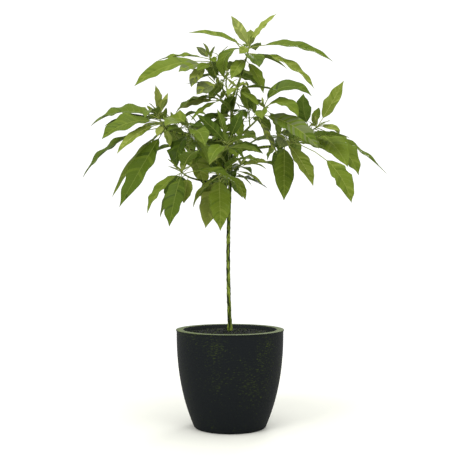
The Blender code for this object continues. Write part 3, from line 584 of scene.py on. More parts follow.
class Joined:
    """Many small surfaces of one kind, joined into one mesh with a material for each face."""

    def __init__(self):
        self.points = []
        self.quads = []
        self.triangles = []
        self.quad_slots = []
        self.triangle_slots = []
        self.count = 0

    def add(self, points, quads, triangles, quad_slots, triangle_slots):
        """Points with faces that count from the first of them, and each face's material."""
        self.points.append(np.reshape(points, (-1, 3)))
        self.quads.append(quads + self.count)
        self.triangles.append(triangles + self.count)
        self.quad_slots.append(np.broadcast_to(quad_slots, len(quads)))
        self.triangle_slots.append(np.broadcast_to(triangle_slots, len(triangles)))
        self.count += len(self.points[-1])

    def add_tube(self, rings, slot=0, cap_slot=None):
        """A closed tube from an array of rings by sides by 3."""
        cap_slot = slot if cap_slot is None else cap_slot
        self.add(rings, ring_quads(*rings.shape[:2]), cap_triangles(*rings.shape[:2]), slot, cap_slot)

    def piece(self, name, materials):
        """The mesh as an object in the scene."""
        points = np.concatenate(self.points)
        quads = np.concatenate(self.quads)
        triangles = np.concatenate(self.triangles)
        corners = np.concatenate([quads.ravel(), triangles.ravel()])
        starts = np.cumsum([0] + [4] * len(quads) + [3] * len(triangles))[:-1]
        mesh = bpy.data.meshes.new(name)
        mesh.vertices.add(len(points))
        mesh.vertices.foreach_set("co", points.ravel())
        mesh.loops.add(len(corners))
        mesh.loops.foreach_set("vertex_index", corners)
        mesh.polygons.add(len(starts))
        mesh.polygons.foreach_set("loop_start", starts)
        for material in materials:
            mesh.materials.append(material)
        mesh.polygons.foreach_set("material_index", np.concatenate(self.quad_slots + self.triangle_slots))
        mesh.polygons.foreach_set("use_smooth", np.ones(len(starts), bool))
        mesh.update(calc_edges=True)
        thing = bpy.data.objects.new(name, mesh)
        bpy.context.scene.collection.objects.link(thing)
        return thing


def add_piece(joined, name, materials, slot, *replaced):
    """One piece of the plant on the root body, and the solids it stands in for; its slot is not used."""
    piece = joined.piece(name, materials)
    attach(piece, "root")
    if replaced:
        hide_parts(*replaced)


def waves(places, count, lengths, chance):
    """Soft unevenness: the mean of many sine waves with seeded directions, lengths and phases."""
    places = np.asarray(places)
    total = np.zeros(places.shape[:-1])
    for _ in range(count):
        direction = np.array([chance.gauss(0, 1) for _ in range(3)])
        direction /= np.linalg.norm(direction)
        length = chance.uniform(*lengths)
        total += np.sin(math.tau * places @ direction / length + chance.uniform(0, math.tau))
    return total / math.sqrt(count)


# Materials

def new_material(name, colour, roughness, specular):
    """A material with its node tree and its shader."""
    material = bpy.data.materials.new(name)
    material.use_nodes = True
    shader = material.node_tree.nodes["Principled BSDF"]
    shader.inputs["Base Color"].default_value = (*colour, 1.0)
    shader.inputs["Roughness"].default_value = roughness
    shader.inputs["Specular IOR Level"].default_value = specular
    return material, material.node_tree, shader


def add_node(tree, kind, **values):
    """A node with its sockets or settings given by name."""
    node = tree.nodes.new(kind)
    for name, value in values.items():
        socket = name.replace("_", " ").title()
        if socket in node.inputs:
            node.inputs[socket].default_value = value
        else:
            setattr(node, name, value)
    return node


def object_noise(tree, scale, detail=3.0, stretch=(1.0, 1.0, 1.0), shift=(0.0, 0.0, 0.0)):
    """Noise on Object coordinates, stretched by a scale for each axis and then moved."""
    place = tree.nodes.new("ShaderNodeTexCoord")
    mapping = tree.nodes.new("ShaderNodeMapping")
    mapping.inputs["Scale"].default_value = stretch
    mapping.inputs["Location"].default_value = shift
    noise = add_node(tree, "ShaderNodeTexNoise", scale=scale, detail=detail)
    tree.links.new(place.outputs["Object"], mapping.inputs["Vector"])
    tree.links.new(mapping.outputs["Vector"], noise.inputs["Vector"])
    return noise


def add_bump(tree, shader, height, strength, distance):
    """Fine relief by light alone, for what is too small for the mesh."""
    bump = add_node(tree, "ShaderNodeBump", strength=strength, distance=distance)
    tree.links.new(height, bump.inputs["Height"])
    tree.links.new(bump.outputs["Normal"], shader.inputs["Normal"])


def add_ramp(tree, factor, *stops):
    """Colours by position, each stop a (position, colour)."""
    ramp = tree.nodes.new("ShaderNodeValToRGB")
    elements = ramp.color_ramp.elements
    while len(elements) < len(stops):
        elements.new(1.0)
    for element, (position, colour) in zip(elements, stops):
        element.position = position
        element.color = (*colour, 1.0)
    tree.links.new(factor, ramp.inputs["Fac"])
    return ramp.outputs["Color"]


def add_roughness(tree, shader, factor, low, high):
    """Roughness that goes from low to high with a factor from 0 to 1."""
    spread = tree.nodes.new("ShaderNodeMapRange")
    spread.inputs["To Min"].default_value = low
    spread.inputs["To Max"].default_value = high
    tree.links.new(factor, spread.inputs["Value"])
    tree.links.new(spread.outputs["Result"], shader.inputs["Roughness"])


def leaf_material(name, colour, low, high, specular):
    """One plain green with fine cells in its surface and patches of more and less gloss."""
    material, tree, shader = new_material(name, colour, high, specular)
    cells = object_noise(tree, scale=900.0)
    add_bump(tree, shader, cells.outputs["Fac"], strength=0.25, distance=0.0003)
    patches = object_noise(tree, scale=35.0)
    add_roughness(tree, shader, patches.outputs["Fac"], low, high)
    return material


def bark_material(name, dark, middle, pale):
    """Young green bark: long streaks up the stem, with fine fibres in relief."""
    material, tree, shader = new_material(name, middle, roughness=0.55, specular=0.05)
    streaks = object_noise(tree, scale=260.0, detail=4.0, stretch=(1.0, 1.0, 0.16))
    colour = add_ramp(tree, streaks.outputs["Fac"], (0.41, dark), (0.51, middle), (0.61, pale))
    tree.links.new(colour, shader.inputs["Base Color"])
    fibres = object_noise(tree, scale=1400.0, stretch=(1.0, 1.0, 0.12))
    add_bump(tree, shader, fibres.outputs["Fac"], strength=0.35, distance=0.0003)
    return material


def planter_material(name, colour, painted_glint):
    """Matte moulded plastic: brushed round the side, with faint olive flecks that are glints of light painted
    on the grain.

    A painted glint shows where the brushed noise is high, sooner where a broad noise is high too.
    """
    material, tree, shader = new_material(name, colour, roughness=0.62, specular=0.06)
    brushed = object_noise(tree, scale=130.0, detail=5.0, stretch=(1.0, 1.0, 5.0))
    # The broad noise gathers the painted glints into patches.
    patches = object_noise(tree, scale=11.0, detail=1.0, shift=(0.063, 0.0, -0.100))
    sum_of_both = add_node(tree, "ShaderNodeMath", operation="MULTIPLY_ADD")
    sum_of_both.inputs[1].default_value = PAINTED_GLINT_PATCHES
    tree.links.new(patches.outputs["Fac"], sum_of_both.inputs[0])
    tree.links.new(brushed.outputs["Fac"], sum_of_both.inputs[2])
    first, full = PAINTED_GLINT_RANGE
    painted_glints = add_ramp(tree, sum_of_both.outputs["Value"], (first, colour), (full, painted_glint))
    tree.links.new(painted_glints, shader.inputs["Base Color"])
    grain = object_noise(tree, scale=420.0, detail=4.0, stretch=(1.0, 1.0, 4.0))
    add_bump(tree, shader, grain.outputs["Fac"], strength=0.35, distance=0.0004)
    add_roughness(tree, shader, brushed.outputs["Fac"], low=0.5, high=0.8)
    return material


def earth_material(name, dark, pale):
    """Crumbly earth: clods of two colours with coarse grit in relief."""
    material, tree, shader = new_material(name, dark, roughness=0.95, specular=0.15)
    clods = object_noise(tree, scale=160.0, detail=6.0)
    colour = add_ramp(tree, clods.outputs["Fac"], (0.40, dark), (0.70, pale))
    tree.links.new(colour, shader.inputs["Base Color"])
    grit = object_noise(tree, scale=900.0, detail=5.0)
    add_bump(tree, shader, grit.outputs["Fac"], strength=0.8, distance=0.0008)
    return material


def floor_material(name):
    """A pale painted floor with a barely uneven coat."""
    material, tree, shader = new_material(name, FLOOR_COLOUR, roughness=0.7, specular=0.05)
    paint = object_noise(tree, scale=6.0)
    add_bump(tree, shader, paint.outputs["Fac"], strength=0.02, distance=0.001)
    return material


# Growth: limbs, stems and leaves, by the same rule as the solids

def soil_top():
    """The height of the middle of the soil's dome."""
    return POT_HEIGHT - SOIL_DROP + SOIL_DOME


def trunk_point(along):
    """The stem is upright, with a slight sway sideways and nod forward that fade in from the foot."""
    along = np.asarray(along, float)
    foot = soil_top() + CLEARANCE
    settle = np.minimum(1.0, along / TRUNK_SETTLE)
    sway = -TRUNK_SWAY * np.sin(math.tau * along / TRUNK_SWAY_LENGTH) * settle
    nod = -TRUNK_NOD * np.sin(math.tau * along / TRUNK_NOD_LENGTH) * settle
    return np.stack([sway, nod, foot + (TRUNK_FORK_HEIGHT - foot) * along], axis=-1)


def trunk_radius(along):
    """Tapers evenly to the fork, and flares out over the last stretch above the soil."""
    height = along * (TRUNK_FORK_HEIGHT - soil_top())
    flare = TRUNK_FLARE * np.exp(-2 * height / TRUNK_FLARE_HEIGHT)
    return TRUNK_RADIUS_LOW + (TRUNK_RADIUS_TOP - TRUNK_RADIUS_LOW) * along + flare


def walk(start, bearing, slope, length, bow=0.0, stations=(0.0, 1.0)):
    """The points along a limb, twig or midrib, with its slope and bearing in radians at each.

    The slope falls evenly from slope + bow to slope - bow, and the points are
    the sum of many short steps.
    """
    fine = np.linspace(0.0, 1.0, WALK_STEPS + 1)
    tilt = np.radians(slope + bow * (1 - 2 * fine))
    turn = math.radians(bearing)
    level = np.cos(tilt)
    heading = np.stack([level * math.cos(turn), level * math.sin(turn), np.sin(tilt)], axis=1)
    steps = 0.5 * (heading[1:] + heading[:-1]) * length / WALK_STEPS
    path = np.vstack([np.zeros(3), np.cumsum(steps, axis=0)]) + np.array(start)
    at = np.array(stations)
    points = np.stack([np.interp(at, fine, path[:, k]) for k in range(3)], axis=-1)
    return points, np.radians(slope + bow * (1 - 2 * at)), turn


def framed_walk(start, bearing, slope, length, bow, roll, stations):
    """The points along a limb or midrib with the directions to its side and out of its top."""
    centres, tilt, turn = walk(start, bearing, slope, length, bow, stations)
    side = np.broadcast_to([math.sin(turn), -math.cos(turn), 0.0], centres.shape)
    top = np.stack([-math.cos(turn) * np.sin(tilt), -math.sin(turn) * np.sin(tilt), np.cos(tilt)], axis=-1)
    lean = np.radians(roll)
    c, s = (np.broadcast_to(value, tilt.shape)[..., None] for value in (np.cos(lean), np.sin(lean)))
    return centres, side * c + top * s, top * c - side * s


def walk_along(grown, start, stations, roll=0):
    """The framed walk along a limb, a stem or a leaf from where it starts."""
    return framed_walk(start, grown.bearing, grown.slope, grown.length, grown.bow, roll, stations)


def upright_frame(count):
    """The directions to the side and out of the top for each ring of an upright stem."""
    _, side, top = framed_walk((0, 0, 0), 270, 90, 0, 0, 0, np.zeros(count))
    return side, top


def place_on(route, along):
    """The point at a share of the way along a limb's route."""
    shares = np.linspace(0.0, 1.0, len(route))
    return np.array([np.interp(along, shares, route[:, k]) for k in range(3)])


def round_rings(centres, side, top, radii, sides, squash=1.0):
    """Rings of points: the radius times the cosine to the side and times the sine to the top.

    A radius is given for each ring, or for each point of each ring.
    """
    angle = math.tau * np.arange(sides) / sides
    across = np.cos(angle)[:, None] * side[:, None] + squash * np.sin(angle)[:, None] * top[:, None]
    return centres[:, None] + across * np.reshape(radii, (len(centres), -1, 1))


def search_tree(rings):
    """A tree that finds what touches a closed tube."""
    faces = [*ring_quads(*rings.shape[:2]).tolist(), *cap_triangles(*rings.shape[:2]).tolist()]
    return BVHTree.FromPolygons(rings.reshape(-1, 3).tolist(), faces)


def half_breadth(share, breadth):
    """Half the blade's breadth: a power of the distance from its base times that from its tip."""
    widest = BLADE_SWELL / (BLADE_SWELL + BLADE_TAPER)
    peak = widest ** BLADE_SWELL * (1 - widest) ** BLADE_TAPER
    return 0.5 * breadth * share ** BLADE_SWELL * (1 - share) ** BLADE_TAPER / peak


def blade_length(leaf):
    """What the stalk leaves of a leaf's length."""
    return leaf.length * (1 - leaf.stalk)


def past_stalk(leaf, share):
    """The share of the whole leaf's length at a share of its blade's."""
    return leaf.stalk + (1 - leaf.stalk) * share


def leaf_trees(leaf, root):
    """Two search trees of a simple leaf with some room round it: all of it, and the blade alone."""
    stations = [0.0, *past_stalk(leaf, np.array([0.0, *BLADE_STATIONS, 1.0]))]
    centres, side, top = walk_along(leaf, root, stations, leaf.roll)
    blades = half_breadth(np.array(BLADE_STATIONS), leaf.broad * blade_length(leaf)) * ROOM_SIDEWAYS
    stalks = [LEAF_STALK_RADIUS] * 2
    width = np.array([*stalks, *blades])[:, None]
    rise = np.array([0.0, 0.0, *blades * math.sin(math.radians(LEAF_FOLD))])[:, None]
    deep = np.array(stalks + [0.5 * LEAF_THICKNESS * leaf.length] * 3)[:, None] * ROOM_THICKNESS
    centres, tip = centres[:-1], centres[-1:]
    side, top = side[:-1], top[:-1]
    rings = np.stack([centres - side * width + top * rise, centres + top * deep,
                      centres + side * width + top * rise, centres - top * deep], axis=1)
    rows, sides = rings.shape[:2]
    last = sides * (rows - 1)
    points = [*rings.reshape(-1, 3).tolist(), *tip.tolist()]
    whole = [(3, 2, 1, 0), *ring_quads(rows, sides).tolist()]
    whole += [(last + k, last + (k + 1) % sides, sides * rows) for k in range(sides)]
    blade_alone = [face for face in whole if min(face) >= sides]
    return BVHTree.FromPolygons(points, whole), BVHTree.FromPolygons(points, blade_alone)


def rule_leaf(spray, number, turn, chance):
    """Leaves step round the stem by the golden angle, raised at its tip and hanging at its foot."""
    share = (number + 0.5) / spray.more
    bearing = spray.bearing + RULE_FIRST_TURN + GOLDEN_ANGLE * turn
    slope = spray.lift + RULE_SLOPE_SPAN * (0.5 - share)
    return Leaf(along=1.0 - RULE_REACH * share,
                bearing=bearing + chance.uniform(-RULE_STRAY, RULE_STRAY),
                slope=slope + chance.uniform(-RULE_STRAY, RULE_STRAY),
                length=spray.leaf_length * chance.uniform(*RULE_LENGTH),
                bow=chance.uniform(*RULE_BOW),
                roll=chance.uniform(-RULE_ROLL, RULE_ROLL))


def leaf_tip(leaf, root):
    """The point where a leaf ends."""
    return walk(root, leaf.bearing, leaf.slope, leaf.length, leaf.bow)[0][-1]


def inside_crown(leaf, root):
    """Whether a leaf ends inside the crown, which is an ellipsoid."""
    tip = leaf_tip(leaf, root)
    return sum(((tip[k] - CROWN_CENTRE[k]) / CROWN_REACH[k]) ** 2 for k in range(3)) < 1.0


class Foliage:
    """Gives each leaf its room: a leaf that touches a limb or another spray is skipped."""

    def __init__(self, limb_trees):
        self.limb_trees = limb_trees
        self.taken = []
        self.kept = {spray.name: [] for spray in SPRAYS}

    def touched(self, spray, leaf, root):
        """Two leaves of one spray may share the room round their stalks, so only their blades count."""
        whole, blade = leaf_trees(leaf, root)
        if any(name != spray.name and whole.overlap(tree) for name, tree in self.limb_trees.items()):
            return True
        return any(blade.overlap(other_blade) if owner == spray.name else whole.overlap(other_whole)
                   for owner, other_whole, other_blade in self.taken)

    def take(self, spray, leaf, root):
        """Takes up a leaf's room if it is free, and says whether it was."""
        free = not self.touched(spray, leaf, root)
        if free:
            self.taken.append((spray.name, *leaf_trees(leaf, root)))
        return free


def plan_limbs():
    """The route of the trunk, of each bough and of each spray's stem, and the tubes they fill."""
    shares = np.linspace(0.0, 1.0, WALK_STEPS + 1)
    routes = {"trunk": trunk_point(shares)}
    frame_of_trunk = upright_frame(len(shares))
    tubes = {"trunk": round_rings(routes["trunk"], *frame_of_trunk, trunk_radius(shares), TRUNK_SIDES)}
    for limb in (*LIMBS, *SPRAYS):
        bough = isinstance(limb, Limb)
        carrier = limb.parent if bough else limb.limb
        radii = (limb.root, limb.tip) if bough else (STEM_ROOT, STEM_TIP)
        rings = LIMB_RINGS if bough else STEM_RINGS
        start = place_on(routes[carrier], limb.along)
        centres, side, top = walk_along(limb, start, np.linspace(0.0, 1.0, rings))
        routes[limb.name] = centres
        tubes[limb.name] = round_rings(centres, side, top, np.linspace(*radii, rings), LIMB_SIDES)
    return routes, tubes


def plan_foliage(routes, tubes):
    """Leaves with a set place first, then those of the seeded rule in the room that is left."""
    foliage = Foliage({name: search_tree(rings) for name, rings in tubes.items()})
    for spray in SPRAYS:
        for leaf in LEAVES.get(spray.name, ()):
            root = place_on(routes[spray.name], leaf.along)
            if foliage.take(spray, leaf, root):
                foliage.kept[spray.name].append((leaf, root))
    for spray in SPRAYS:
        chance = random.Random(spray.seed)
        turn = 0
        for number in range(spray.more):
            for _ in range(RULE_TRIES):
                leaf = rule_leaf(spray, number, turn, chance)
                root = place_on(routes[spray.name], leaf.along)
                turn += 1
                if inside_crown(leaf, root) and foliage.take(spray, leaf, root):
                    foliage.kept[spray.name].append((leaf, root))
                    break
    return foliage


# Blades, veins and stalks

BladeLook = namedtuple("BladeLook", "tone ripple waves phases wave twist pairs stripes bloomed")


def blade_look(leaf, tone, sheen_share, chance):
    """The seeded habits of one blade.

    They are how its margins ripple, how far it twists, its pairs of side
    veins, which of the stripes between them are a step deeper or paler, and
    which carry a painted grey sheen.
    """
    pairs = int(np.clip(round(blade_length(leaf) / VEIN_PITCH), *VEIN_PAIRS))
    stripes = range(2 * pairs + 3)
    return BladeLook(tone, chance.uniform(*RIPPLE), chance.uniform(*RIPPLE_WAVES),
                     (chance.uniform(0, math.tau), chance.uniform(0, math.tau)), chance.uniform(*MARGIN_WAVE),
                     chance.uniform(-TWIST, TWIST), pairs,
                     np.array([[chance.choice(STRIPES), chance.choice(STRIPES)] for _ in stripes]),
                     np.array([[chance.random() < sheen_share, chance.random() < sheen_share] for _ in stripes]))


def blade_surfaces(leaf, root, look):
    """Top and underside of a blade as rows by columns by 3, and which rows are side veins.

    Rows start on the midrib and sweep towards the tip as they go out, as the
    side veins do; every second row is a vein and lies lower than its
    neighbours.  Each half rises from the midrib and flattens to the margin.
    The margin ripples up and down by a sine of the way along the blade, and
    in and out by a quicker one.  A bell curve pinches the blade before its tip.
    """
    blade = blade_length(leaf)
    veins = np.linspace(*VEIN_SPAN, look.pairs)
    between = 0.5 * (veins[1:] + veins[:-1])
    rows = np.concatenate([BLADE_BASE_ROWS, np.sort(np.concatenate([veins, between])), BLADE_TIP_ROWS])
    is_vein = np.isin(rows, veins)
    half_columns = np.array(BLADE_COLUMNS)
    columns = np.concatenate([half_columns[::-1], -half_columns[1:]])
    out = np.abs(columns)
    sweep = VEIN_SWEEP * half_breadth(rows, leaf.broad * blade) / blade
    share = np.minimum(1.0, rows[:, None] + sweep[:, None] * out ** VEIN_CURVE)
    centres, side, top = walk_along(leaf, root, past_stalk(leaf, share), leaf.roll + look.twist * share)
    phase = np.where(columns > 0, *look.phases)
    margin = 1 + look.wave * np.sin(math.tau * MARGIN_QUICKER * look.waves * share + 2 * phase) * out
    margin -= DRIP_PINCH * np.exp(-((1 - share) / DRIP_REACH) ** 2)
    least = BLADE_BASE_WIDTH * (1 - share) + BLADE_TIP_WIDTH
    half = half_breadth(share, leaf.broad * blade) * margin + least
    ripple = look.ripple * np.sin(math.tau * look.waves * share + phase)
    ripple = ripple * np.minimum(1.0, RIPPLE_RISE * share)
    quilt = VEIN_QUILT * blade / look.pairs * np.where(is_vein, -0.5, 0.5)[:, None]
    quilt = quilt * np.sin(math.pi * out ** QUILT_POWER) * np.minimum(1.0, QUILT_FADE * (1 - share))
    lift = half * (BLADE_RISE * out - BLADE_DISH * out ** 2 + ripple * out ** 2) + quilt
    surface = centres + side * (columns * half)[..., None] + top * lift[..., None]
    gauge = 0.5 * BLADE_GAUGE * (1 - MARGIN_THINNING * out)[:, None] * top
    return surface + gauge, surface - gauge, is_vein


def add_blade(joined, leaf, root, look):
    """The blade closed by rings that run over its top and back under it, each stripe in its own tone."""
    upper, lower, is_vein = blade_surfaces(leaf, root, look)
    rings = np.concatenate([upper, lower[:, ::-1]], axis=1)
    sides = rings.shape[1]
    across = np.arange(sides)
    under = across >= sides // 2
    second_half = np.where(under, across[::-1], across) >= sides // 4
    # Stripes marked for sheen take the grey-green of the painted sheen; the others take their leaf's green, a
    # step deeper or paler.
    tones = np.where(look.bloomed, PAINTED_SHEEN, np.clip(look.tone + look.stripes, 0, PAINTED_SHEEN - 1))
    tones = tones[:, second_half.astype(int)]
    joined.add_tube(rings, (2 * tones + under).ravel(), 2 * look.tone)
    return upper, lower, is_vein


def add_veins(joined, upper, lower, is_vein, size, slot):
    """Side veins: a ridge of four sides through the blade along each vein row, thinning to the margin."""
    rows = np.flatnonzero(is_vein)
    middle = upper.shape[1] // 2
    forward = upper[rows + 1] - upper[rows - 1]
    forward /= np.linalg.norm(forward, axis=-1, keepdims=True)
    outward = upper[rows] - lower[rows]
    outward /= np.linalg.norm(outward, axis=-1, keepdims=True)
    core = 0.5 * (upper[rows] + lower[rows])
    out = np.abs(np.linspace(-1, 1, upper.shape[1]))
    taper = ((1 - VEIN_THINNING * out) * size)[:, None]
    left = core - forward * VEIN_HALF_WIDTH * taper
    right = core + forward * VEIN_HALF_WIDTH * taper
    peak = upper[rows] + outward * VEIN_RIDGE * taper
    keel = lower[rows] - outward * VEIN_KEEL * taper
    lines = np.stack([left, peak, right, keel], axis=2)
    for line in lines[:, middle:0:-1]:
        joined.add_tube(line, slot)
    for line in lines[:, middle:-1, ::-1]:
        joined.add_tube(line, slot)


def add_stalk(joined, leaf, root, look, size, slot):
    """The stalk with a thicker foot, carried on as a midrib that thins to the tip."""
    stalk = np.array(STALK_PLACES) * leaf.stalk
    midrib = past_stalk(leaf, np.linspace(0.0, MIDRIB_END, 2 * look.pairs))
    along = np.concatenate([stalk, midrib])
    roll = leaf.roll + look.twist * np.maximum(0.0, along - leaf.stalk)
    foot = np.array(STALK_SWELLING) * MIDRIB_ROOT
    radii = np.concatenate([foot, np.linspace(MIDRIB_ROOT, MIDRIB_TIP, len(midrib))]) * size
    rings = round_rings(*walk_along(leaf, root, along, roll), radii, STALK_SIDES, MIDRIB_SQUASH)
    joined.add_tube(rings, slot)


# Bark, twigs and buds

def add_bark(joined, centres, side, top, radii, length, sides, carrier_radius, chance, slot=0):
    """A limb with its bark in relief.

    The radius is multiplied by one plus: ridges, which are sines round the
    stem that drift along it; a swelling at each node; a scar there, a raised
    rim round a sunk middle; and a collar where the limb leaves its carrier.
    The tip is closed by a dome.
    """
    at = np.linspace(0.0, length, len(centres))[:, None]
    angle = math.tau * np.arange(sides) / sides
    relief = np.zeros((len(centres), sides))
    for count in BARK_RIDGE_COUNTS:
        along = math.tau * at / chance.uniform(*BARK_DRIFT_LENGTHS)
        drift = BARK_DRIFT * np.sin(along + chance.uniform(0, math.tau))
        relief += BARK_RIDGE * np.sin(count * angle + drift + chance.uniform(0, math.tau))
    node = carrier_radius + SCAR_SPACING * chance.uniform(*SCAR_FIRST)
    bearing = chance.uniform(0, math.tau)
    while node < length - SCAR_HEIGHT:
        up = (at - node) / SCAR_HEIGHT
        round_it = ((angle - bearing + math.pi) % math.tau - math.pi) / SCAR_WIDTH
        near = up ** 2 + round_it ** 2
        relief += BARK_SWELLING * np.exp(-(up / BARK_SWELLING_REACH) ** 2)
        relief += BARK_SCAR * (np.exp(-near) - SCAR_SUNK * np.exp(-SCAR_SUNK_TIGHTNESS * near))
        node += SCAR_SPACING * chance.uniform(*SCAR_STEP)
        bearing += math.radians(GOLDEN_ANGLE)
    if carrier_radius > 0:
        relief += COLLAR * np.exp(-np.maximum(0.0, at - carrier_radius) / radii[0])
    rings = round_rings(centres, side, top, radii[:, None] * (1 + relief), sides)
    ahead = centres[-1] - centres[-2]
    ahead = ahead / np.linalg.norm(ahead) * radii[-1]
    dome = np.radians(DOME_ANGLES)[:, None, None]
    ends = centres[-1] + ahead * np.sin(dome) * DOME_HEIGHT + (rings[-1] - centres[-1]) * np.cos(dome)
    joined.add_tube(np.concatenate([rings, ends]), slot)


def add_twig(joined, centres, side, top, radii, swellings):
    """A twig with a swelling at each leaf's foot: a bell curve of the distance from it."""
    shares = np.linspace(0.0, 1.0, len(centres))
    bulge = np.zeros(len(centres))
    for place in swellings:
        bulge += np.exp(-((shares - place) / TWIG_SWELLING_REACH) ** 2)
    radii = radii * (1 + TWIG_SWELLING * np.minimum(bulge, TWIG_SWELLING_MOST))
    joined.add_tube(round_rings(centres, side, top, radii, TWIG_SIDES))


def add_bud(joined, place, bearing, slope, length, radius):
    """A pointed bud: its radius is a sine that swells early and closes at the tip."""
    shares = np.array(BUD_ROWS)
    centres, side, top = framed_walk(place, bearing, slope, length, BUD_BOW, 0, shares)
    radii = radius * (np.sin(math.pi * shares ** BUD_POWER) + BUD_TIP)
    joined.add_tube(round_rings(centres, side, top, radii, BUD_SIDES))


# Planter and soil

def pot_radius(height):
    """The planter's outer side narrows slowly below the rim and fastest near the foot."""
    narrowing = np.clip(1 - height / POT_HEIGHT, 0, 1) ** POT_TAPER_POWER
    return POT_RIM_RADIUS - (POT_RIM_RADIUS - POT_FOOT_RADIUS) * narrowing


def pot_inner_radius(height):
    """The wall is as wide as the rim at the top and thins towards the floor."""
    share = height / POT_HEIGHT
    return pot_radius(height) - POT_WALL - (POT_RIM_WIDTH - POT_WALL) * share


def rounded(profile, radius):
    """Each inner corner of the profile becomes three points on a curve through its two sides."""
    points = [profile[0]]
    for before, corner, after in zip(profile, profile[1:], profile[2:]):
        before, corner, after = map(np.array, (before, corner, after))
        reach = [min(radius, 0.4 * np.linalg.norm(other - corner)) for other in (before, after)]
        start = corner + (before - corner) / np.linalg.norm(before - corner) * reach[0]
        end = corner + (after - corner) / np.linalg.norm(after - corner) * reach[1]
        points += [start, 0.25 * start + 0.5 * corner + 0.25 * end, end]
    return np.array([*points, profile[-1]], float)


def turned_rings(profile, steps):
    """Rings round the upright axis from points of (radius, height); poles keep a hair's radius."""
    angle = math.tau * np.arange(steps) / steps
    radius, height = np.maximum(profile[:, 0], POLE_RADIUS), profile[:, 1]
    return np.stack([radius[:, None] * np.cos(angle), radius[:, None] * np.sin(angle),
                     np.broadcast_to(height[:, None], (len(profile), steps))], axis=-1)


def pot_ribs(angle, height):
    """How deep the ribs cut in.

    Each family of ribs is a sine of the height whose phase drifts with the
    bearing, so ribs run into each other; together they only cut inwards.
    """
    chance = random.Random(POT_SEED)
    ribs = np.zeros(height.shape)
    for length in POT_RIB_LENGTHS:
        phase = math.tau * height / length + POT_RIB_BUNCHING * np.sin(POT_RIB_BUNCHES * height)
        for turns in POT_RIB_TURNS:
            phase = phase + POT_RIB_DRIFT * np.sin(turns * angle + chance.uniform(0, math.tau))
        ribs += np.sin(phase)
    return POT_RIB_DEPTH * (ribs - len(POT_RIB_LENGTHS))


def planter_piece(materials):
    """The planter turned from its profile: side, rim and inner wall each have their material."""
    lip_base = POT_HEIGHT - POT_LIP_HEIGHT
    proud = POT_RIM_RADIUS + POT_LIP_PROUD
    inner = [(pot_inner_radius(z), z) for z in np.linspace(POT_FLOOR, POT_HEIGHT, POT_INNER_ROWS)]
    below_lip = pot_radius(lip_base)
    top = [(0.0, POT_FLOOR), *inner, (proud, POT_HEIGHT), (proud, lip_base), (below_lip, lip_base),
           (below_lip - POT_NECK_IN, lip_base - POT_NECK)]
    side = [(pot_radius(z), z) for z in np.linspace(lip_base - POT_RIBS_BELOW_LIP, POT_EDGE, POT_RIB_ROWS)]
    foot = [(POT_FOOT_RADIUS - POT_FOOT_BEVEL, POT_FOOT_BEVEL), (POT_FOOT_RADIUS - POT_EDGE, 0.0), (0.0, 0.0)]
    profile = np.concatenate([rounded(top, POT_ROUNDING)[:-1], side, foot])
    rings = turned_rings(profile, POT_AROUND)
    x, y, z = np.moveaxis(rings, -1, 0)
    on_side = (np.arange(len(profile)) >= len(profile) - len(foot) - len(side)) & (profile[:, 1] > POT_EDGE)
    cut = np.where(on_side[:, None], pot_ribs(np.arctan2(y, x), z), 0.0)
    rings[..., :2] *= (1 + cut / np.hypot(x, y))[..., None]
    # The rim's top takes its painted highlight.
    on_rim = np.minimum(profile[:-1, 1], profile[1:, 1]) > POT_HEIGHT - 0.5 * POT_ROUNDING
    # The inner wall takes the lighter copy painted against its shade.
    inside = np.arange(len(profile) - 1) < np.argmax(on_rim)
    joined = Joined()
    joined.add_tube(rings, np.repeat(on_rim + 2 * inside, POT_AROUND), 0)
    add_piece(joined, "planter", materials, "planter", "pot")


def soil_height(radius):
    """A low dome: it falls by the square of the way to the wall."""
    edge = pot_inner_radius(POT_HEIGHT - SOIL_DROP)
    return POT_HEIGHT - SOIL_DROP + SOIL_DOME * (1 - np.minimum(1.0, radius / edge) ** 2)


def soil_bed(edge):
    """The soil's dome down to the planter's floor, roughened by waves that fade out in the middle."""
    floor = POT_FLOOR + CLEARANCE
    heights = np.linspace(floor, POT_HEIGHT - SOIL_DROP, SOIL_WALL_ROWS)
    walls = [(pot_inner_radius(z) - 2 * CLEARANCE, z) for z in heights]
    dome = [(radius, soil_height(radius)) for radius in np.linspace(edge, 0.0, SOIL_DOME_ROWS)[1:]]
    profile = np.array([(0.0, floor), *walls, *dome])
    rings = turned_rings(profile, SOIL_AROUND)
    radius = np.hypot(rings[..., 0], rings[..., 1])
    rough = SOIL_RELIEF * waves(rings, SOIL_WAVES, SOIL_WAVE_LENGTHS, random.Random(SOIL_SEED))
    on_dome = np.arange(len(profile))[:, None] > len(walls)
    rings[..., 2] += np.where(on_dome, rough, 0.0) * np.minimum(1, radius / SOIL_CALM)
    joined = Joined()
    joined.add_tube(rings[::-1])
    return joined


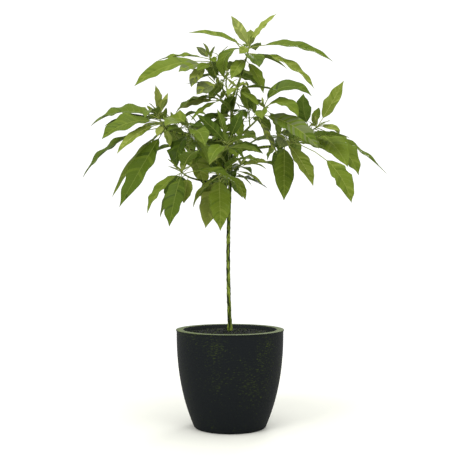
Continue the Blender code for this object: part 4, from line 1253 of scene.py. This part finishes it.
def soil_crumbs(edge):
    """Crumbs half sunk in the dome: each a squashed ball with few sides, made lumpy by waves."""
    chance = random.Random(CRUMB_SEED)
    joined = Joined()
    latitude = np.radians(CRUMB_LATITUDES)[:, None]
    for _ in range(CRUMBS):
        size = chance.uniform(*CRUMB_SIZES) * chance.uniform(*CRUMB_SHRINK)
        distance = (edge - 2 * size) * math.sqrt(chance.uniform(CRUMB_INNERMOST, 1.0))
        bearing = chance.uniform(0, math.tau)
        height = soil_height(distance) + CRUMB_PROUD * size
        centre = np.array([distance * math.cos(bearing), distance * math.sin(bearing), height])
        longitude = math.tau * np.arange(CRUMB_SIDES) / CRUMB_SIDES + chance.uniform(0, 1)
        ball = np.stack([np.cos(latitude) * np.cos(longitude), np.cos(latitude) * np.sin(longitude),
                         CRUMB_SQUASH * np.sin(latitude) + 0 * longitude], axis=-1)
        ball *= 1 + CRUMB_LUMPS * waves(ball, CRUMB_WAVES, CRUMB_WAVE_LENGTHS, chance)[..., None]
        joined.add_tube((centre + size * ball)[::-1], chance.choice(CRUMB_LOOKS))
    return joined


def soil_pieces(materials):
    """The bed of soil, and loose crumbs in three colours on it."""
    edge = pot_inner_radius(POT_HEIGHT - SOIL_DROP) - 2 * CLEARANCE
    add_piece(soil_bed(edge), "soil_bed", materials[:1], "soil", "soil")
    add_piece(soil_crumbs(edge), "soil_crumbs", materials, "soil")


# The plant

def leaf_tone(spray, leaf, root, chance):
    """The leaf's own green, or for a leaf of the rule a deeper one the nearer it hangs to the low middle, as
    painted shade.
    """
    set_leaves = LEAVES.get(spray.name, ())
    if leaf in set_leaves:
        return SET_TONES[spray.name][set_leaves.index(leaf)]
    tip = leaf_tip(leaf, root)
    outward = math.hypot(tip[0] - CROWN_CENTRE[0], tip[1]) / CROWN_REACH[0]
    upward = (tip[2] - SHADE_HEIGHT) / SHADE_RISE
    exposure = SHADE_OUTWARD * outward + SHADE_UPWARD * upward + chance.uniform(*SHADE_STRAY)
    return int(np.digitize(exposure, SHADE_STEPS))


def leaf_painted_sheen_share(spray, leaf):
    """The share of a leaf's stripes that carry a painted grey sheen."""
    set_leaves = LEAVES.get(spray.name, ())
    return PAINTED_SHEEN_SHARES.get(spray.name, {}).get(set_leaves.index(leaf), 0.0) if leaf in set_leaves else 0.0


def add_leaf(pieces, leaf, root, tone, sheen_share, size, chance):
    """A blade, its side veins, and its stalk with the midrib."""
    blades, veins, stalks = pieces
    look = blade_look(leaf, tone, sheen_share, chance)
    surfaces = add_blade(blades, leaf, root, look)
    add_veins(veins, *surfaces, size, VEIN_TONES[tone])
    add_stalk(stalks, leaf, root, look, size, VEIN_TONES[tone])


def add_young_growth(spray, route, foliage, pieces, twigs, chance):
    """Leaflets round the stem's tip and on fine side twigs, each skipped where it would touch something."""
    starts = [(1.0, place_on(route, 1.0), spray.slope, LEAFLETS)]
    for number in range(TWIGLETS):
        along = TWIGLET_FIRST - TWIGLET_SPACING * number
        root = place_on(route, along)
        stray = chance.uniform(-TWIGLET_STRAY, TWIGLET_STRAY)
        bearing = spray.bearing + TWIGLET_TURN + GOLDEN_ANGLE * number + stray
        slope = chance.uniform(*TWIGLET_SLOPE)
        length = chance.uniform(*TWIGLET_LENGTH)
        twiglet = Leaf(along, bearing, slope, length, TWIGLET_BOW, roll=0, broad=TWIGLET_ROOM, stalk=0.5)
        if foliage.touched(spray, twiglet, root):
            continue
        centres, side, top = walk_along(twiglet, root, np.linspace(0.0, 1.0, TWIGLET_RINGS))
        radii = np.linspace(*TWIGLET_TAPER, TWIGLET_RINGS) * TWIGLET_RADIUS
        add_twig(twigs, centres, side, top, radii, (1.0,))
        add_bud(twigs, centres[-1], bearing, slope - TWIGLET_BOW, TWIGLET_BUD * BUD_LENGTH, TWIGLET_RADIUS)
        starts.append((along, centres[-1], slope, TWIGLET_LEAFLETS))
    for along, root, slope, count in starts:
        turn = chance.uniform(0, 360)
        for number in range(count):
            leaf = Leaf(along=along,
                        bearing=turn + GOLDEN_ANGLE * number,
                        slope=LEAFLET_FOLLOW * slope + chance.uniform(*LEAFLET_LIFT),
                        length=chance.uniform(*LEAFLET_LENGTH),
                        bow=chance.uniform(*LEAFLET_BOW),
                        roll=chance.uniform(-LEAFLET_ROLL, LEAFLET_ROLL),
                        broad=LEAFLET_BREADTH,
                        stalk=LEAFLET_STALK)
            if foliage.take(spray, leaf, root):
                add_leaf(pieces, leaf, root, chance.choice(LEAFLET_TONES), 0.0, LEAFLET_RIB_SIZE, chance)


def bark_pieces(routes, barks):
    """The trunk's bark, and that of the leaders and boughs together."""
    chance = random.Random(BARK_SEED)
    trunk, boughs = Joined(), Joined()
    length = TRUNK_FORK_HEIGHT - soil_top()
    foot = np.linspace(0.0, BARK_FOOT_SHARE, BARK_FOOT_ROWS)[:-1]
    along = np.concatenate([foot, np.linspace(BARK_FOOT_SHARE, 1.0, round(length / BARK_PITCH))])
    add_bark(trunk, trunk_point(along), *upright_frame(len(along)), trunk_radius(along), length,
             BARK_TRUNK_SIDES, 0.0, chance)
    for limb in LIMBS:
        rings = round(limb.length / BARK_PITCH)
        start = place_on(routes[limb.parent], limb.along)
        carrier = trunk_radius(limb.along) if limb.parent == "trunk" and limb.along < 1 else 0.0
        add_bark(boughs, *walk_along(limb, start, np.linspace(0.0, 1.0, rings)),
                 np.linspace(limb.root, limb.tip, rings), limb.length, BARK_BOUGH_SIDES, carrier, chance,
                 limb.name in YOUNG_LIMBS)
    add_piece(trunk, "trunk_bark", barks[:1], "bark", "trunk")
    add_piece(boughs, "bough_bark", barks, "bark", *(limb.name for limb in LIMBS))


def foliage_pieces(routes, foliage, greens, veined, stalked, twig_bark):
    """The blades of each group of sprays, and the twigs, side veins and stalks of them all."""
    twigs, veins, stalks = Joined(), Joined(), Joined()
    chance = random.Random(LEAF_SEED)
    young_chance = random.Random(YOUNG_SEED)
    shares = np.linspace(0.0, 1.0, TWIG_RINGS)
    radii = STEM_ROOT + (STEM_TIP - STEM_ROOT) * shares
    for group, masses in LEAF_GROUPS.items():
        blades = Joined()
        for spray in SPRAYS:
            if spray.name.removeprefix("foliage_") not in masses:
                continue
            route = routes[spray.name]
            leaves = foliage.kept[spray.name]
            centres, side, top = walk_along(spray, route[0], shares)
            add_twig(twigs, centres, side, top, radii, sorted({leaf.along for leaf, _ in leaves}))
            add_bud(twigs, centres[-1], spray.bearing, spray.slope, BUD_LENGTH, STEM_TIP)
            for leaf, root in leaves:
                size = min(RIB_SIZE_MOST, RIB_SIZE_LEAST + RIB_SIZE_GROWTH * leaf.length)
                tone = leaf_tone(spray, leaf, root, chance)
                add_leaf((blades, veins, stalks), leaf, root, tone, leaf_painted_sheen_share(spray, leaf), size, chance)
            add_young_growth(spray, route, foliage, (blades, veins, stalks), twigs, young_chance)
        add_piece(blades, group, greens, "foliage", *("foliage_" + mass for mass in masses))
    add_piece(twigs, "twigs", [twig_bark], "bark")
    add_piece(veins, "leaf_veins", veined, "foliage")
    add_piece(stalks, "leaf_stalks", stalked, "foliage")


def plant_pieces():
    """The trunk and boughs, and everything that grows on them."""
    greens = [leaf_material(f"{name}_leaf_{face}", colour, low + rougher, high + rougher, specular)
              for name, *colours, low, high in LEAF_TONES
              for colour, (face, rougher, specular) in zip(colours, LEAF_FACES)]
    veined = [leaf_material(f"vein_{k}", colour, *VEIN_GLOSS) for k, colour in enumerate(VEIN_COLOURS)]
    stalked = [leaf_material(f"stalk_{k}", colour, *STALK_GLOSS) for k, colour in enumerate(STALK_COLOURS)]
    barks = [bark_material(name, *colours) for name, colours in BARK_COLOURS.items()]
    routes, tubes = plan_limbs()
    foliage = plan_foliage(routes, tubes)
    bark_pieces(routes, barks)
    foliage_pieces(routes, foliage, greens, veined, stalked, barks[1])


# The studio

def add_light(name, place, size, power):
    """A round lamp turned to face the middle of the tree."""
    lamp = bpy.data.lights.new(name, "AREA")
    lamp.shape = "DISK"
    lamp.size = size
    lamp.energy = power
    thing = bpy.data.objects.new(name, lamp)
    thing.location = place
    x, y, z = np.array(LIGHT_TARGET) - np.array(place)
    thing.rotation_euler = (math.acos(-z / math.hypot(x, y, z)), 0, math.atan2(y, x) - math.pi / 2)
    bpy.context.scene.collection.objects.link(thing)


def add_floor():
    """A square of floor round the planter."""
    half = FLOOR_SIZE / 2
    mesh = bpy.data.meshes.new("floor")
    corners = [(-half, -half, 0), (half, -half, 0), (half, half, 0), (-half, half, 0)]
    mesh.from_pydata(corners, [], [(0, 1, 2, 3)])
    mesh.materials.append(floor_material("pale_floor"))
    thing = bpy.data.objects.new("floor", mesh)
    bpy.context.scene.collection.objects.link(thing)


def add_surroundings():
    """Even white light from all sides."""
    world = bpy.data.worlds.new("studio")
    bpy.context.scene.world = world
    world.use_nodes = True
    background = world.node_tree.nodes["Background"]
    background.inputs["Color"].default_value = (1.0, 1.0, 1.0, 1.0)
    background.inputs["Strength"].default_value = WORLD_STRENGTH


def add_camera():
    """The photo's view: from the front, above the planter's rim, with a slight look up."""
    lens = bpy.data.cameras.new("camera")
    lens.lens = CAMERA_LENS
    lens.sensor_width = CAMERA_SENSOR
    thing = bpy.data.objects.new("camera", lens)
    thing.location = CAMERA_PLACE
    thing.rotation_euler = (math.radians(CAMERA_PITCH), 0, 0)
    bpy.context.scene.collection.objects.link(thing)
    bpy.context.scene.camera = thing
    bpy.context.scene.view_settings.view_transform = "Standard"


def main():
    """Every piece and the studio."""
    planter_piece([planter_material(name, *colours) for name, colours in PLANTER_COLOURS.items()])
    soil_pieces([earth_material(name, *colours) for name, colours in SOIL_COLOURS.items()])
    plant_pieces()
    add_floor()
    add_surroundings()
    for light in LIGHTS:
        add_light(*light)
    add_camera()


main()
